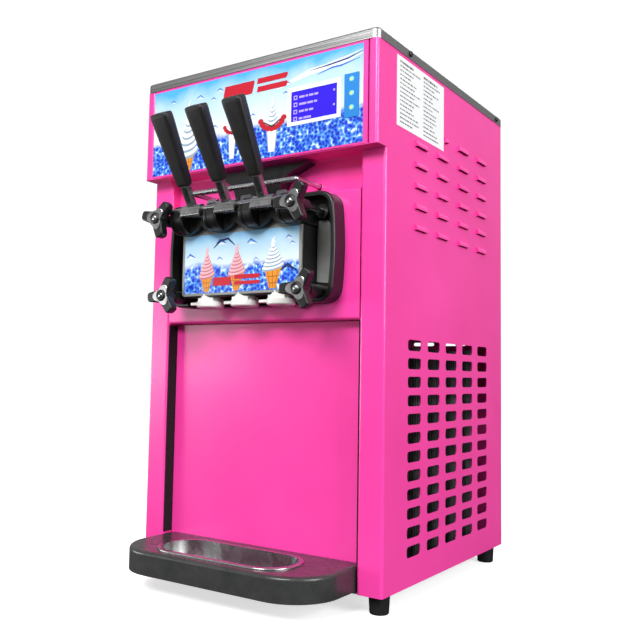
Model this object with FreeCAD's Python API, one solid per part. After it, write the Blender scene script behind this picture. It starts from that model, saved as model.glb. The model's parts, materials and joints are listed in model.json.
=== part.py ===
"""Countertop soft serve machine with a three-nozzle dispensing head, in millimetres.

+Z is up, -Y is the serving side, and +X is on the right of a person who faces the machine. The origin
is at the middle of the whole object's footprint, at the height of the surface that the feet stand on.
"""
import FreeCAD
import Part

import math
import os

from FreeCAD import Vector

# ---- driving dimensions ----
cabinet_width = 410.0
cabinet_depth = 450.0
foot_height = 25.0
body_height = 713.0  # from the underside of the cabinet to the top frame
rim_height = 14.0  # skirt of the stainless top frame
header_height = 139.0
header_overhang = 23.0  # how far the header stands in front of the posts
post_width = 37.0
panel_recess = 19.0  # service panel behind the posts
sheet = 1.2
bend_radius = 4.0
service_height = 350.0
nozzle_pitch = 62.0
post_face = -141.7  # Y of the front of the two posts

# ---- cabinet levels and faces ----
half_width = cabinet_width / 2
header_face = post_face - header_overhang
rear_face = header_face + cabinet_depth
body_bottom = foot_height
body_top = body_bottom + body_height
header_bottom = body_top - header_height
top_level = body_top + rim_height
opening_half = half_width - post_width  # half the gap between the posts
panel_face = post_face + panel_recess
fascia_bottom = body_bottom + service_height
fascia_top = 550.5
recess_face = post_face + 17.0
header_flange = 15.0

# ---- dispensing head ----
flange_thickness = 27.0
flange_half = 146.0
flange_bottom = 397.0
flange_top = 545.5
block_half = 105.0
block_bottom = 409.0
block_top = 512.0
flange_face = post_face - flange_thickness  # front of the lip
flange_floor = post_face - 6.5
block_face = post_face - 42.0
bore_y = post_face - 27.0
bore_radius = 11.5
shelf_face = block_face - 12.0
shelf_top = 521.0
scallop_low = 498.2
scallop_peak = 511.0
drum_xs = (-93.0, -31.0, 31.0, 93.0)
drum_half = 11.2
drum_radius = 20.5
drum_y = post_face - 53.8
drum_z = 520.0
pivot_y = post_face - 70.0
pivot_z = 530.0
pin_radius = 4.0
grip_lean = 31.0  # degrees in front of upright, with the valve shut
stud_x = 117.0
stud_radius = 4.0
upper_stud_z = 520.0
lower_stud_z = 411.0
upper_knob_face = post_face - 89.0
lower_knob_face = post_face - 72.0
upper_knob_depth = 34.0
lower_knob_depth = 22.0
running = 0.05  # radial clearance of a running fit

# ---- freezing and drive ----
barrel_x = nozzle_pitch
barrel_z = 455.0
feed_z = 433.0
barrel_inner = 43.0
barrel_outer = 46.0
barrel_rear = 118.0
feed_y = 80.0
feed_radius = 10.0
belt_y0 = 200.0
belt_y1 = 214.0
input_pulley_z = 430.0
motor_z = 300.0
fan_y = 65.0
fan_z = 195.0

os.makedirs("parts", exist_ok=True)


# ---- small shape tools ----
def box(x0, x1, y0, y1, z0, z1):
    return Part.makeBox(x1 - x0, y1 - y0, z1 - z0, Vector(x0, y0, z0))


def rod(start, end, radius):
    a = Vector(*start)
    b = Vector(*end)
    return Part.makeCylinder(radius, (b - a).Length, a, b - a)


def fuse(shapes):
    """One solid from touching or overlapping solids."""
    whole = shapes[0].multiFuse(shapes[1:]) if len(shapes) > 1 else shapes[0]
    return whole.removeSplitter()


def rounded_path(points, radii, closed):
    """Straight edges joined by tangent arcs, through points in order. A radius of 0 keeps a sharp corner."""
    count = len(points)
    corners = []
    for i, here in enumerate(points):
        radius = radii[i]
        if radius == 0 or (not closed and i in (0, count - 1)):
            corners.append((here, here, None))
            continue
        back = (points[i - 1] - here).normalize()
        ahead = (points[(i + 1) % count] - here).normalize()
        half = back.getAngle(ahead) / 2
        reach = radius / math.tan(half)
        middle = (back + ahead).normalize()
        centre = here + middle * (radius / math.sin(half))
        corners.append((here + back * reach, here + ahead * reach, centre - middle * radius))
    edges = []
    for i, (enter, leave, top) in enumerate(corners):
        if top is not None:
            edges.append(Part.Arc(enter, top, leave).toShape())
        if i == count - 1 and not closed:
            break
        following = corners[(i + 1) % count][0]
        if (following - leave).Length > 1e-6:
            edges.append(Part.LineSegment(leave, following).toShape())
    return edges


def plate(points, radii, thickness_vector):
    """A flat plate whose outline is the rounded polygon through points."""
    return Part.Face(Part.Wire(rounded_path(points, radii, True))).extrude(thickness_vector)


def slab_xz(x0, x1, z0, z1, radius, y0, y1):
    corners = [Vector(x0, y0, z0), Vector(x1, y0, z0), Vector(x1, y0, z1), Vector(x0, y0, z1)]
    return plate(corners, [radius] * 4, Vector(0, y1 - y0, 0))


def slab_xy(x0, x1, y0, y1, radius, z0, z1):
    corners = [Vector(x0, y0, z0), Vector(x1, y0, z0), Vector(x1, y1, z0), Vector(x0, y1, z0)]
    return plate(corners, [radius] * 4, Vector(0, 0, z1 - z0))


def slab_yz(y0, y1, z0, z1, radius, x0, x1):
    corners = [Vector(x0, y0, z0), Vector(x0, y1, z0), Vector(x0, y1, z1), Vector(x0, y0, z1)]
    return plate(corners, [radius] * 4, Vector(x1 - x0, 0, 0))


def folded_sheet(points, normal, length):
    """Sheet metal with bends: points run along the outer face, with the metal on the left of the run
    when the extrusion direction points at the viewer."""
    direction = [(b - a).normalize() for a, b in zip(points, points[1:])]
    inward = [normal.cross(d) for d in direction]
    inner = [points[0] + inward[0] * sheet]
    outer_radii = [0]
    inner_radii = [0]
    for i in range(1, len(points) - 1):
        turn = direction[i - 1].cross(direction[i]).dot(normal)
        mitre = (inward[i - 1] + inward[i]) * (1 / (1 + inward[i - 1].dot(inward[i])))
        inner.append(points[i] + mitre * sheet)
        outer_radii.append(bend_radius if turn > 0 else bend_radius - sheet)
        inner_radii.append(bend_radius - sheet if turn > 0 else bend_radius)
    inner.append(points[-1] + inward[-1] * sheet)
    outer_edges = rounded_path(points, outer_radii + [0], False)
    inner_edges = rounded_path(inner, inner_radii + [0], False)
    ends = [
        Part.LineSegment(points[-1], inner[-1]).toShape(),
        Part.LineSegment(inner[0], points[0]).toShape(),
    ]
    loop = Part.Wire(Part.__sortEdges__(outer_edges + inner_edges + ends))
    return Part.Face(loop).extrude(normal * length)


def tube_along(points, radius, bend):
    """A round pipe along straight runs joined by arcs."""
    corners = [Vector(*p) for p in points]
    path = Part.Wire(rounded_path(corners, [bend] * len(corners), False))
    start = Part.makeCircle(radius, corners[0], corners[1] - corners[0])
    return path.makePipeShell([Part.Wire([start])], True, False)


def mirror_x(shape):
    return shape.mirror(Vector(0, 0, 0), Vector(1, 0, 0))


def export(name, shape):
    """Writes one node, and says if its solids aren't closed."""
    if not shape.isValid() or not shape.Solids:
        print("NOT VALID", name)
    shape.exportStep(os.path.join("parts", name + ".step"))
    return shape


# ---- cabinet ----
rear_screw_x = 193.0
rear_screw_z = (60.0, 380.0, 700.0)
louvre_columns = [-39.0, 33.0, 111.0, 186.0]
louvre_rows = [650.0 - 29.4 * i for i in range(6)]
louvre_length = 36.0
louvre_height = 9.0
louvre_depth = 4.5


def louvre(y, z, length):
    """A pressed hood that opens downwards, and the slot behind it, both on the right-hand side."""
    def hood(inset):
        y0 = y - length / 2 + inset
        foot = Vector(half_width - 1.0, y0, z)
        lip = Vector(half_width + louvre_depth - inset, y0, z)
        top = Vector(half_width - 1.0, y0, z + louvre_height - inset)
        belly = Vector(half_width + 0.72 * louvre_depth - inset, y0, z + 0.62 * louvre_height - inset)
        edges = [
            Part.LineSegment(foot, lip).toShape(),
            Part.Arc(lip, belly, top).toShape(),
            Part.LineSegment(top, foot).toShape(),
        ]
        return Part.Face(Part.Wire(edges)).extrude(Vector(0, length - 2 * inset, 0))

    slot = box(half_width - 5, half_width + 0.01, y - length / 2 + 1, y + length / 2 - 1, z, z + 6.5)
    return hood(0), hood(0.9).fuse(slot)


def side_panel(labelled):
    """Right-hand side: post, header flange, louvres and air grille, folded from one sheet."""
    up = Vector(0, 0, 1)
    rear = rear_face - sheet
    lower = folded_sheet(
        [
            Vector(half_width - 20, rear, body_bottom),
            Vector(half_width, rear, body_bottom),
            Vector(half_width, post_face, body_bottom),
            Vector(opening_half, post_face, body_bottom),
            Vector(opening_half, post_face + 22, body_bottom),
        ],
        up * -1,
        -(header_bottom - body_bottom),
    )
    upper = folded_sheet(
        [
            Vector(half_width - 20, rear, header_bottom),
            Vector(half_width, rear, header_bottom),
            Vector(half_width, header_face, header_bottom),
            Vector(half_width - header_flange, header_face, header_bottom),
            Vector(half_width - header_flange, header_face + 12, header_bottom),
        ],
        up * -1,
        -(body_top - header_bottom),
    )
    underside = box(
        opening_half, half_width - 0.6, header_face + 0.6, post_face + 3, header_bottom, header_bottom + sheet
    )
    panel = fuse([lower, upper, underside])
    base_notch = box(
        opening_half - 1, half_width - 3, post_face + 2, rear_face, body_bottom - 1, body_bottom + 3
    )
    panel = panel.cut(base_notch)
    hoods = []
    slots = []
    for row, z in enumerate(louvre_rows):
        for column, y in enumerate(louvre_columns):
            length = louvre_length
            if labelled and row == 0 and column < 2:
                if column == 0:
                    continue
                y, length = y + 13.5, 9.0
            hood, slot = louvre(y, z, length)
            hoods.append(hood)
            slots.append(slot)
    panel = panel.multiFuse(hoods).cut(Part.makeCompound(slots))
    holes = []
    for column in range(5):
        for row in range(12):
            y = -53.5 + 61.8 * column
            z = 344.0 - 24.9 * row
            holes.append(slab_yz(y - 20.5, y + 20.5, z - 7.5, z + 7.5, 5, half_width - 6, half_width + 6))
    for z in rear_screw_z:
        holes.append(rod((rear_screw_x, rear_face - 5, z), (rear_screw_x, rear_face + 2, z), 2.2))
    return panel.cut(Part.makeCompound(holes))


def base_pan():
    floor = box(-202.0, 202.0, post_face + 2.5, rear_face - 1.5, body_bottom, body_bottom + 1.5)
    lips = [
        box(side - 0.75, side + 0.75, panel_face + 8, rear_face - 2.8, body_bottom + 1, body_bottom + 14)
        for side in (-201.2, 201.2)
    ]
    rear_lip = box(-202.0, 202.0, rear_face - 4.2, rear_face - 2.7, body_bottom + 1, body_bottom + 14)
    vents = [slab_xy(x - 4, x + 4, 40, 150, 4, body_bottom - 1, body_bottom + 3) for x in range(30, 111, 16)]
    return fuse([floor, rear_lip] + lips).cut(Part.makeCompound(vents))


def feet():
    result = []
    for x in (-188.0, 188.0):
        for y in (-117.0, 251.0):
            foot = Part.makeCone(12.5, 14.0, foot_height, Vector(x, y, 0))
            foot = foot.makeFillet(2.0, [foot.Edges[2]])
            result.append(foot)
    return Part.makeCompound(result)


def service_panel():
    left = -opening_half + 1.2
    panel = box(left, -left, panel_face, panel_face + sheet, body_bottom + 3, fascia_bottom - 0.8)
    returns = [
        box(x, x + sheet, panel_face + 0.5, panel_face + 12, body_bottom + 3, fascia_bottom - 0.8)
        for x in (left, -left - sheet)
    ]
    top_return = box(
        left, -left, panel_face + 0.5, panel_face + 12, fascia_bottom - 0.8 - sheet, fascia_bottom - 0.8
    )
    return fuse([panel, top_return] + returns)


def head_fascia():
    """Front sheet behind the dispensing head, stepped back above it and forward under the header."""
    x0 = -opening_half + 0.2
    run = [
        (panel_face + 4, fascia_bottom),
        (post_face, fascia_bottom),
        (post_face, fascia_top),
        (recess_face, fascia_top),
        (recess_face, header_bottom),
        (header_face + 1.4, header_bottom),
    ]
    fascia = folded_sheet([Vector(x0, y, z) for y, z in run], Vector(-1, 0, 0), 2 * x0)
    cuts = [
        rod((x, post_face - 3, barrel_z), (x, post_face + 6, barrel_z), barrel_outer + 2)
        for x in (-barrel_x, barrel_x)
    ]
    for x in (-stud_x, stud_x):
        for z in (upper_stud_z, lower_stud_z):
            cuts.append(rod((x, post_face - 3, z), (x, post_face + 6, z), stud_radius + 1))
    for x in (-bail_x, bail_x):
        cuts.append(rod((x, recess_face - 3, bail_z), (x, recess_face + 4, bail_z), bail_radius + 1))
    return fascia.cut(Part.makeCompound(cuts))


# header controls: all in the plane of the header front
display = (70.0, 144.0, 646.0, 689.0)
button_x = 166.0
button_levels = [689.0, 670.0, 651.0]
button_radius = 3.8


def header_panel():
    x1 = half_width - header_flange - 0.2
    z0 = header_bottom + sheet + 0.2
    panel = box(-x1, x1, header_face, header_face + sheet, z0, body_top - 0.2)
    window = box(
        display[0] + 2, display[1] - 2, header_face - 1, header_face + 3, display[2] + 2, display[3] - 2
    )
    holes = [
        rod((button_x, header_face - 1, z), (button_x, header_face + 3, z), button_radius + 0.4)
        for z in button_levels
    ]
    return panel.cut(Part.makeCompound([window] + holes))


def graphic_overlay():
    film = box(-189.6, 183.0, header_face - 0.4, header_face, header_bottom + 4, body_top - 3.5)
    window = box(display[0], display[1], header_face - 1, header_face + 1, display[2], display[3])
    holes = [
        rod((button_x, header_face - 1, z), (button_x, header_face + 1, z), button_radius + 0.4)
        for z in button_levels
    ]
    return film.cut(Part.makeCompound([window] + holes))


def display_window():
    x0, x1, z0, z1 = display
    front = box(x0 + 0.2, x1 - 0.2, header_face - 0.5, header_face, z0 + 0.2, z1 - 0.2)
    back = box(x0 + 2.2, x1 - 2.2, header_face, header_face + 6, z0 + 2.2, z1 - 2.2)
    return fuse([front, back])


def button(z):
    cap = rod((button_x, header_face - 1.6, z), (button_x, header_face + 7, z), button_radius)
    cap = cap.makeFillet(0.8, [e for e in cap.Edges if abs(e.CenterOfMass.y - (header_face - 1.6)) < 0.1])
    collar_y = header_face + sheet + 1.2
    return fuse([cap, rod((button_x, collar_y, z), (button_x, collar_y + 1.5, z), button_radius + 1.6)])


def control_board():
    board = box(40, 186, -149.0, -147.4, 622, 712)
    chips = [box(52, 64, -147.4, -140, 632, 656), box(80, 120, -147.4, -143, 700, 709)]
    relays = [box(x, x + 16, -147.4, -131, 630, 649) for x in (88, 110, 132)]
    return fuse([board] + chips + relays)


def top_frame():
    edge = half_width + 1.0
    y0 = header_face - 1.0
    y1 = rear_face + 1.0
    outside = slab_xy(-edge, edge, y0, y1, 9, body_top, top_level)
    rim = [e for e in outside.Edges if all(abs(v.Z - top_level) < 1e-6 for v in e.Vertexes)]
    outside = outside.makeFillet(3.0, rim)
    inside = slab_xy(
        -edge + sheet, edge - sheet, y0 + sheet, y1 - sheet, 9 - sheet, body_top - 1, top_level - sheet
    )
    cuts = [inside]
    for side in (-1, 1):
        x0, x1 = sorted((side * 10.5, side * 157.5))
        cuts.append(slab_xy(x0, x1, -77.5, 179.5, 20, top_level - 5, top_level + 5))
    for y in lid_screw_y:
        cuts.append(rod((-half_width - 5, y, lid_screw_z), (half_width + 5, y, lid_screw_z), 2.2))
    return outside.cut(Part.makeCompound(cuts))


lid_screw_y = (-75.0, 257.0)
lid_screw_z = 745.0


def pan_screw(base, direction, head_radius=4.2, shank=7.0):
    """A pan-head screw whose head stands on base and points along direction."""
    base = Vector(*base)
    direction = Vector(*direction)
    head = Part.makeCylinder(head_radius, 2.4, base, direction)
    tip = base + direction * 2.4
    head = head.makeFillet(1.2, [e for e in head.Edges if (e.CenterOfMass - tip).Length < 0.1])
    cross = [
        Part.makeBox(1.0, 4.6, 1.6, Vector(-0.5, -2.3, 1.3)),
        Part.makeBox(4.6, 1.0, 1.6, Vector(-2.3, -0.5, 1.3)),
    ]
    turn = FreeCAD.Placement(base, FreeCAD.Rotation(Vector(0, 0, 1), direction))
    for bar in cross:
        bar.Placement = turn
    head = head.cut(Part.makeCompound(cross))
    return fuse([head, Part.makeCylinder(2.0, shank, base, direction * -1)])


def panel_screws():
    screws = []
    for side in (-1, 1):
        for y in lid_screw_y:
            screws.append(pan_screw((side * (half_width + 1), y, lid_screw_z), (side, 0, 0)))
    for x in (-rear_screw_x, rear_screw_x):
        for z in rear_screw_z:
            screws.append(pan_screw((x, rear_face, z), (0, 1, 0)))
    return Part.makeCompound(screws)


def rear_panel():
    panel = box(-203.4, 203.4, rear_face - sheet, rear_face, body_bottom + 3, body_top - 0.4)
    cuts = [
        slab_xz(x - 20, x + 20, z - 3, z + 3, 2.9, rear_face - 5, rear_face + 2)
        for x in (-120, -60, 0, 60, 120)
        for z in range(120, 361, 20)
    ]
    cuts.append(box(inlet_x - 14, inlet_x + 14, rear_face - 5, rear_face + 2, inlet_z - 10, inlet_z + 10))
    for x in (-rear_screw_x, rear_screw_x):
        for z in rear_screw_z:
            cuts.append(rod((x, rear_face - 5, z), (x, rear_face + 2, z), 2.2))
    return panel.cut(Part.makeCompound(cuts))


inlet_x = 120.0
inlet_z = 70.0


def mains_inlet():
    """Appliance inlet: flange on the rear panel, deep socket with three flat pins."""
    flange = slab_xz(inlet_x - 25, inlet_x + 25, inlet_z - 14, inlet_z + 14, 4, rear_face, rear_face + 4)
    shell = box(inlet_x - 13.8, inlet_x + 13.8, rear_face - 22, rear_face + 1, inlet_z - 9.8, inlet_z + 9.8)
    socket = box(inlet_x - 12.2, inlet_x + 12.2, rear_face - 15, rear_face + 6, inlet_z - 8.2, inlet_z + 8.2)
    pins = [
        box(inlet_x + dx - 2, inlet_x + dx + 2, rear_face - 16, rear_face - 1, inlet_z + dz - 1, inlet_z + dz + 1)
        for dx, dz in ((-7, -3), (7, -3), (0, 3))
    ]
    return fuse([fuse([flange, shell]).cut(socket)] + pins)


def rating_plate():
    return box(half_width, half_width + 0.3, -113.0, 39.0, 636.0, 733.0)


# ---- hoppers ----
hopper_floor = 590.0


def hopper():
    """Right-hand mix tank with its rim and the feed tube that is welded to its floor."""
    outside = slab_xy(11, 157, -77, 179, 19, hopper_floor, top_level + sheet)
    rim = slab_xy(3, 165, -85, 187, 24, top_level, top_level + sheet)
    inside = slab_xy(
        11 + sheet, 157 - sheet, -77 + sheet, 179 - sheet, 19 - sheet, hopper_floor + sheet, top_level + 5
    )
    tube = rod((barrel_x, feed_y, barrel_z + barrel_outer - 2), (barrel_x, feed_y, hopper_floor + 0.5), feed_radius)
    way = rod((barrel_x, feed_y, barrel_z + 30), (barrel_x, feed_y, hopper_floor + 5), feed_radius - 1.5)
    return fuse([outside, rim, tube]).cut(inside).cut(way)


def hopper_lid():
    cover = slab_xy(1.5, 166.5, -86.5, 188.5, 24, top_level + sheet + 0.2, top_level + sheet + 9)
    crown = [e for e in cover.Edges if all(v.Z > top_level + sheet + 8 for v in e.Vertexes)]
    cover = cover.makeFillet(3.5, crown)
    hollow = slab_xy(4, 164, -84, 186, 22, top_level + sheet - 1, top_level + sheet + 6.2)
    lip = slab_xy(14, 154, -74, 176, 17, top_level - 8, top_level + sheet + 7)
    lip_inside = slab_xy(16, 152, -72, 174, 15, top_level - 9, top_level + sheet + 6.2)
    stem = rod((84, 51, top_level + sheet + 8), (84, 51, top_level + 19), 8)
    knob = rod((84, 51, top_level + 18), (84, 51, top_level + 31), 17)
    knob = knob.makeFillet(4.0, [e for e in knob.Edges if len(e.Vertexes) == 1])
    return fuse([cover.cut(hollow), lip.cut(lip_inside), stem, knob])


# ---- freezing unit, drive and refrigeration ----
def freezing_unit():
    """Front plate with both freezing cylinders welded to it."""
    parts = [slab_xz(-137, 137, 398, 547, 10, post_face + 5, post_face + 11)]
    holes = []
    for x in (-barrel_x, barrel_x):
        parts.append(rod((x, post_face + 0.1, barrel_z), (x, barrel_rear, barrel_z), barrel_outer))
        holes.append(rod((x, post_face - 1, barrel_z), (x, barrel_rear - 3, barrel_z), barrel_inner))
        holes.append(rod((x, barrel_rear - 5, barrel_z), (x, barrel_rear + 1, barrel_z), 8 + running))
        holes.append(rod((x, feed_y, barrel_z), (x, feed_y, barrel_z + 60), feed_radius + 0.3))
        for z in (upper_stud_z, lower_stud_z):
            end = math.copysign(stud_x, x)
            holes.append(rod((end, post_face, z), (end, post_face + 20, z), stud_radius))
    return fuse(parts).cut(Part.makeCompound(holes))


def insulation():
    foam = slab_xz(-125, 125, 400, 510, 12, post_face + 11.5, barrel_rear - 4)
    holes = []
    for x in (-barrel_x, barrel_x):
        holes.append(rod((x, -200, barrel_z), (x, 200, barrel_z), barrel_outer + 0.2))
        holes.append(rod((x, feed_y, barrel_z), (x, feed_y, 520), feed_radius + 0.5))
    return foam.cut(Part.makeCompound(holes))


def beater(x):
    """Dasher: a shaft that carries three scraper blades on two spiders."""
    shaft = rod((x, post_face + 6, barrel_z), (x, 150, barrel_z), 8)
    parts = [shaft]
    for y in (post_face + 12, -10.0, barrel_rear - 18):
        parts.append(rod((x, y, barrel_z), (x, y + 6, barrel_z), 16))
        for angle in (90, 210, 330):
            arm = Part.makeBox(6, 6, 38, Vector(-3, 0, 0))
            arm.rotate(Vector(0, 0, 0), Vector(0, 1, 0), angle)
            arm.translate(Vector(x, y, barrel_z))
            parts.append(arm)
    for angle in (90, 210, 330):
        blade = Part.makeBox(4, barrel_rear - 12 - (post_face + 12), 9, Vector(-2, 0, 32.5))
        blade.rotate(Vector(0, 0, 0), Vector(0, 1, 0), angle)
        blade.translate(Vector(x, post_face + 12, barrel_z))
        parts.append(blade)
    return fuse(parts)


def gearbox():
    case = slab_xz(-108, 108, 392, 518, 16, 135, 190)
    holes = [rod((x, 125, barrel_z), (x, 160, barrel_z), 8 + running) for x in (-barrel_x, barrel_x)]
    holes.append(rod((0, 165, input_pulley_z), (0, 195, input_pulley_z), 8 + running))
    bosses = [rod((x, 128, barrel_z), (x, 136, barrel_z), 18) for x in (-barrel_x, barrel_x)]
    return fuse([case] + bosses).cut(Part.makeCompound(holes))


def grooved_pulley(z, radius, bore_end, shaft_radius):
    """V-belt pulley on its own shaft, along Y."""
    middle = (belt_y0 + belt_y1) / 2
    profile = [
        Vector(0, belt_y0 - 4, z),
        Vector(0, belt_y0 - 4, z + radius + 3),
        Vector(0, middle - 4.5, z + radius + 3),
        Vector(0, middle - 2.5, z + radius - 8),
        Vector(0, middle + 2.5, z + radius - 8),
        Vector(0, middle + 4.5, z + radius + 3),
        Vector(0, belt_y1 + 4, z + radius + 3),
        Vector(0, belt_y1 + 4, z),
    ]
    face = Part.Face(Part.makePolygon(profile + [profile[0]]))
    wheel = face.revolve(Vector(0, 0, z), Vector(0, 1, 0), 360)
    return fuse([wheel, rod((0, bore_end, z), (0, belt_y0, z), shaft_radius)])


def drive_belt():
    """Open belt between the two pulleys: a stadium with unequal ends."""
    y0 = (belt_y0 + belt_y1) / 2 - 2.2
    y1 = y0 + 4.4
    reach = input_pulley_z - motor_z

    def loop(big, small):
        lean = math.asin((big - small) / reach)
        c, s = math.cos(lean), math.sin(lean)
        upper = Vector(big * c, y0, input_pulley_z - big * s)
        lower = Vector(small * c, y0, motor_z - small * s)
        crown = Vector(0, y0, input_pulley_z + big)
        keel = Vector(0, y0, motor_z - small)
        left_upper = Vector(-upper.x, y0, upper.z)
        left_lower = Vector(-lower.x, y0, lower.z)
        edges = [
            Part.Arc(upper, crown, left_upper).toShape(),
            Part.LineSegment(left_upper, left_lower).toShape(),
            Part.Arc(left_lower, keel, lower).toShape(),
            Part.LineSegment(lower, upper).toShape(),
        ]
        return Part.Face(Part.Wire(edges)).extrude(Vector(0, y1 - y0, 0))

    return loop(input_radius + 1.5, motor_radius + 1.5).cut(loop(input_radius - 5.5, motor_radius - 5.5))


input_radius = 60.0
motor_radius = 24.0


def drive_motor():
    body = rod((0, 30, motor_z), (0, 185, motor_z), 58)
    ribs = []
    for k in range(24):
        fin = Part.makeBox(2, 120, 5, Vector(-1, 50, 56.5))
        fin.rotate(Vector(0, 0, 0), Vector(0, 1, 0), 15 * k)
        fin.translate(Vector(0, 0, motor_z))
        ribs.append(fin)
    cradle = box(-50, 50, 60, 150, 232, 246)
    bore = rod((0, 150, motor_z), (0, 190, motor_z), 7 + running)
    return fuse([body, cradle] + ribs).cut(bore)


def compressor():
    x, y = -90.0, 180.0
    dome = Part.makeCylinder(75, 178, Vector(x, y, 36))
    dome = dome.makeFillet(38, [e for e in dome.Edges if abs(e.CenterOfMass.z - 214) < 0.1 and len(e.Vertexes) == 1])
    seam = Part.makeCylinder(77, 6, Vector(x, y, 118))
    foot = slab_xy(x - 72, x + 72, y - 72, y + 72, 20, body_bottom + 7, body_bottom + 12)
    pads = [
        Part.makeCylinder(9, 6, Vector(x + a, y + b, body_bottom + 1.5)) for a in (-56, 56) for b in (-56, 56)
    ]
    box_cover = box(x + 60, x + 84, y - 24, y + 24, 70, 110)
    return fuse([dome, seam, foot, box_cover] + pads)


def condenser():
    """Fin-and-tube coil behind the air grille."""
    parts = [box(150, 186, y, y + 1.5, 46, 346) for y in (-62.0, 190.5)]
    parts += [box(153, 183, -58 + 8.0 * k, -57 + 8.0 * k, 50, 342) for k in range(31)]
    for column in (160.0, 176.0):
        for z in range(66, 330, 33):
            parts.append(rod((column, -66, z), (column, 196, z), 4))
    return fuse(parts)


def fan_shroud():
    plate_shape = slab_yz(fan_y - 116, fan_y + 116, fan_z - 130, fan_z + 130, 8, 146, 149)
    ring = rod((118, fan_y, fan_z), (149, fan_y, fan_z), 110)
    feet_box = box(120, 149, fan_y - 90, fan_y + 90, body_bottom + 1.5, 67)
    hollow = rod((110, fan_y, fan_z), (155, fan_y, fan_z), 107)
    relief = box(110, 146, fan_y - 80, fan_y + 80, body_bottom + 6, 75)
    return fuse([plate_shape, ring, feet_box.cut(relief)]).cut(hollow)


def fan_motor():
    body = rod((60, fan_y, fan_z), (108, fan_y, fan_z), 32)
    body = body.makeFillet(5, [e for e in body.Edges if len(e.Vertexes) == 1 and e.CenterOfMass.x < 61])
    post = box(70, 100, fan_y - 22, fan_y + 22, body_bottom + 1.5, fan_z - 20)
    bore = rod((90, fan_y, fan_z), (112, fan_y, fan_z), 4 + running)
    return fuse([body, post]).cut(bore)


def fan_rotor():
    hub = rod((112, fan_y, fan_z), (136, fan_y, fan_z), 24)
    shaft = rod((92, fan_y, fan_z), (114, fan_y, fan_z), 4)
    blades = []
    for k in range(5):
        blade = Part.makeBox(1.6, 46, 80, Vector(-0.8, -23, 22))
        blade.rotate(Vector(0, 0, 0), Vector(0, 0, 1), 24)
        blade.rotate(Vector(0, 0, 0), Vector(1, 0, 0), 72 * k)
        blade.translate(Vector(125, fan_y, fan_z))
        blades.append(blade)
    return fuse([hub, shaft] + blades)


def refrigerant_pipes():
    discharge = tube_along([(-90, 255.2, 150), (-90, 272, 150), (168, 272, 150), (168, 197, 150)], 4, 9)
    suction = tube_along([(-118, 251.6, 180), (-118, 266, 180), (-118, 266, 470), (-118, 115, 470)], 5, 9)
    liquid = tube_along([(168, -67, 330), (168, -86, 330), (168, -86, 470), (126, -86, 470)], 3, 8)
    return Part.makeCompound([discharge, suction, liquid])


# ---- dispensing head ----
bail_x = 92.0
bail_z = 562.0
bail_radius = 3.5
bail_y = post_face - 40.0
nozzle_xs = (-nozzle_pitch, 0.0, nozzle_pitch)


def flange_outline(inset, y0, y1):
    """Wide plate whose ends bulge in a shallow arc."""
    shoulder = flange_half - 6.0 - inset
    low = flange_bottom + inset
    high = flange_top - inset
    middle = (low + high) / 2
    bulge = 500 - 14 * inset
    outline = [
        (shoulder, low, 22 - inset),
        (flange_half + 2 - inset, middle, bulge),
        (shoulder, high, 22 - inset),
        (-shoulder, high, 22 - inset),
        (inset - flange_half - 2, middle, bulge),
        (-shoulder, low, 22 - inset),
    ]
    points = [Vector(x, y0, z) for x, z, radius in outline]
    return plate(points, [radius for x, z, radius in outline], Vector(0, y1 - y0, 0))


def scalloped_shelf():
    """Ledge over the face plate, with one arc under each drum."""
    y = flange_floor
    end = block_half + 3.0
    sag = scallop_peak - scallop_low
    radius = (31.0 ** 2 + sag ** 2) / (2 * sag)

    def level(offset):
        return scallop_low + radius - math.sqrt(radius ** 2 - offset ** 2)

    edges = []
    for x in drum_xs:
        left = max(x - 31.0, -end)
        right = min(x + 31.0, end)
        a = Vector(left, y, level(left - x))
        b = Vector(right, y, level(right - x))
        edges.append(Part.Arc(a, Vector(x, y, scallop_low), b).toShape())
    first = edges[0].Vertexes[0].Point
    last = edges[-1].Vertexes[-1].Point
    corners = [last, Vector(end, y, shelf_top), Vector(-end, y, shelf_top), first]
    edges += [Part.LineSegment(a, b).toShape() for a, b in zip(corners, corners[1:])]
    outline = Part.Wire(Part.__sortEdges__(edges))
    return Part.Face(outline).extrude(Vector(0, shelf_face - y, 0))


def drum(x):
    """Round shoulder between two levers, carrying the pivot rod."""
    shape = rod((x - drum_half, drum_y, drum_z), (x + drum_half, drum_y, drum_z), drum_radius)
    shape = shape.makeFillet(2.5, [e for e in shape.Edges if len(e.Vertexes) == 1])
    ring = rod((x - 5.2, drum_y, drum_z), (x - 3.4, drum_y, drum_z), drum_radius + 1)
    core = rod((x - 6, drum_y, drum_z), (x - 3, drum_y, drum_z), drum_radius - 1)
    return shape.cut(ring.cut(core))


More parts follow.
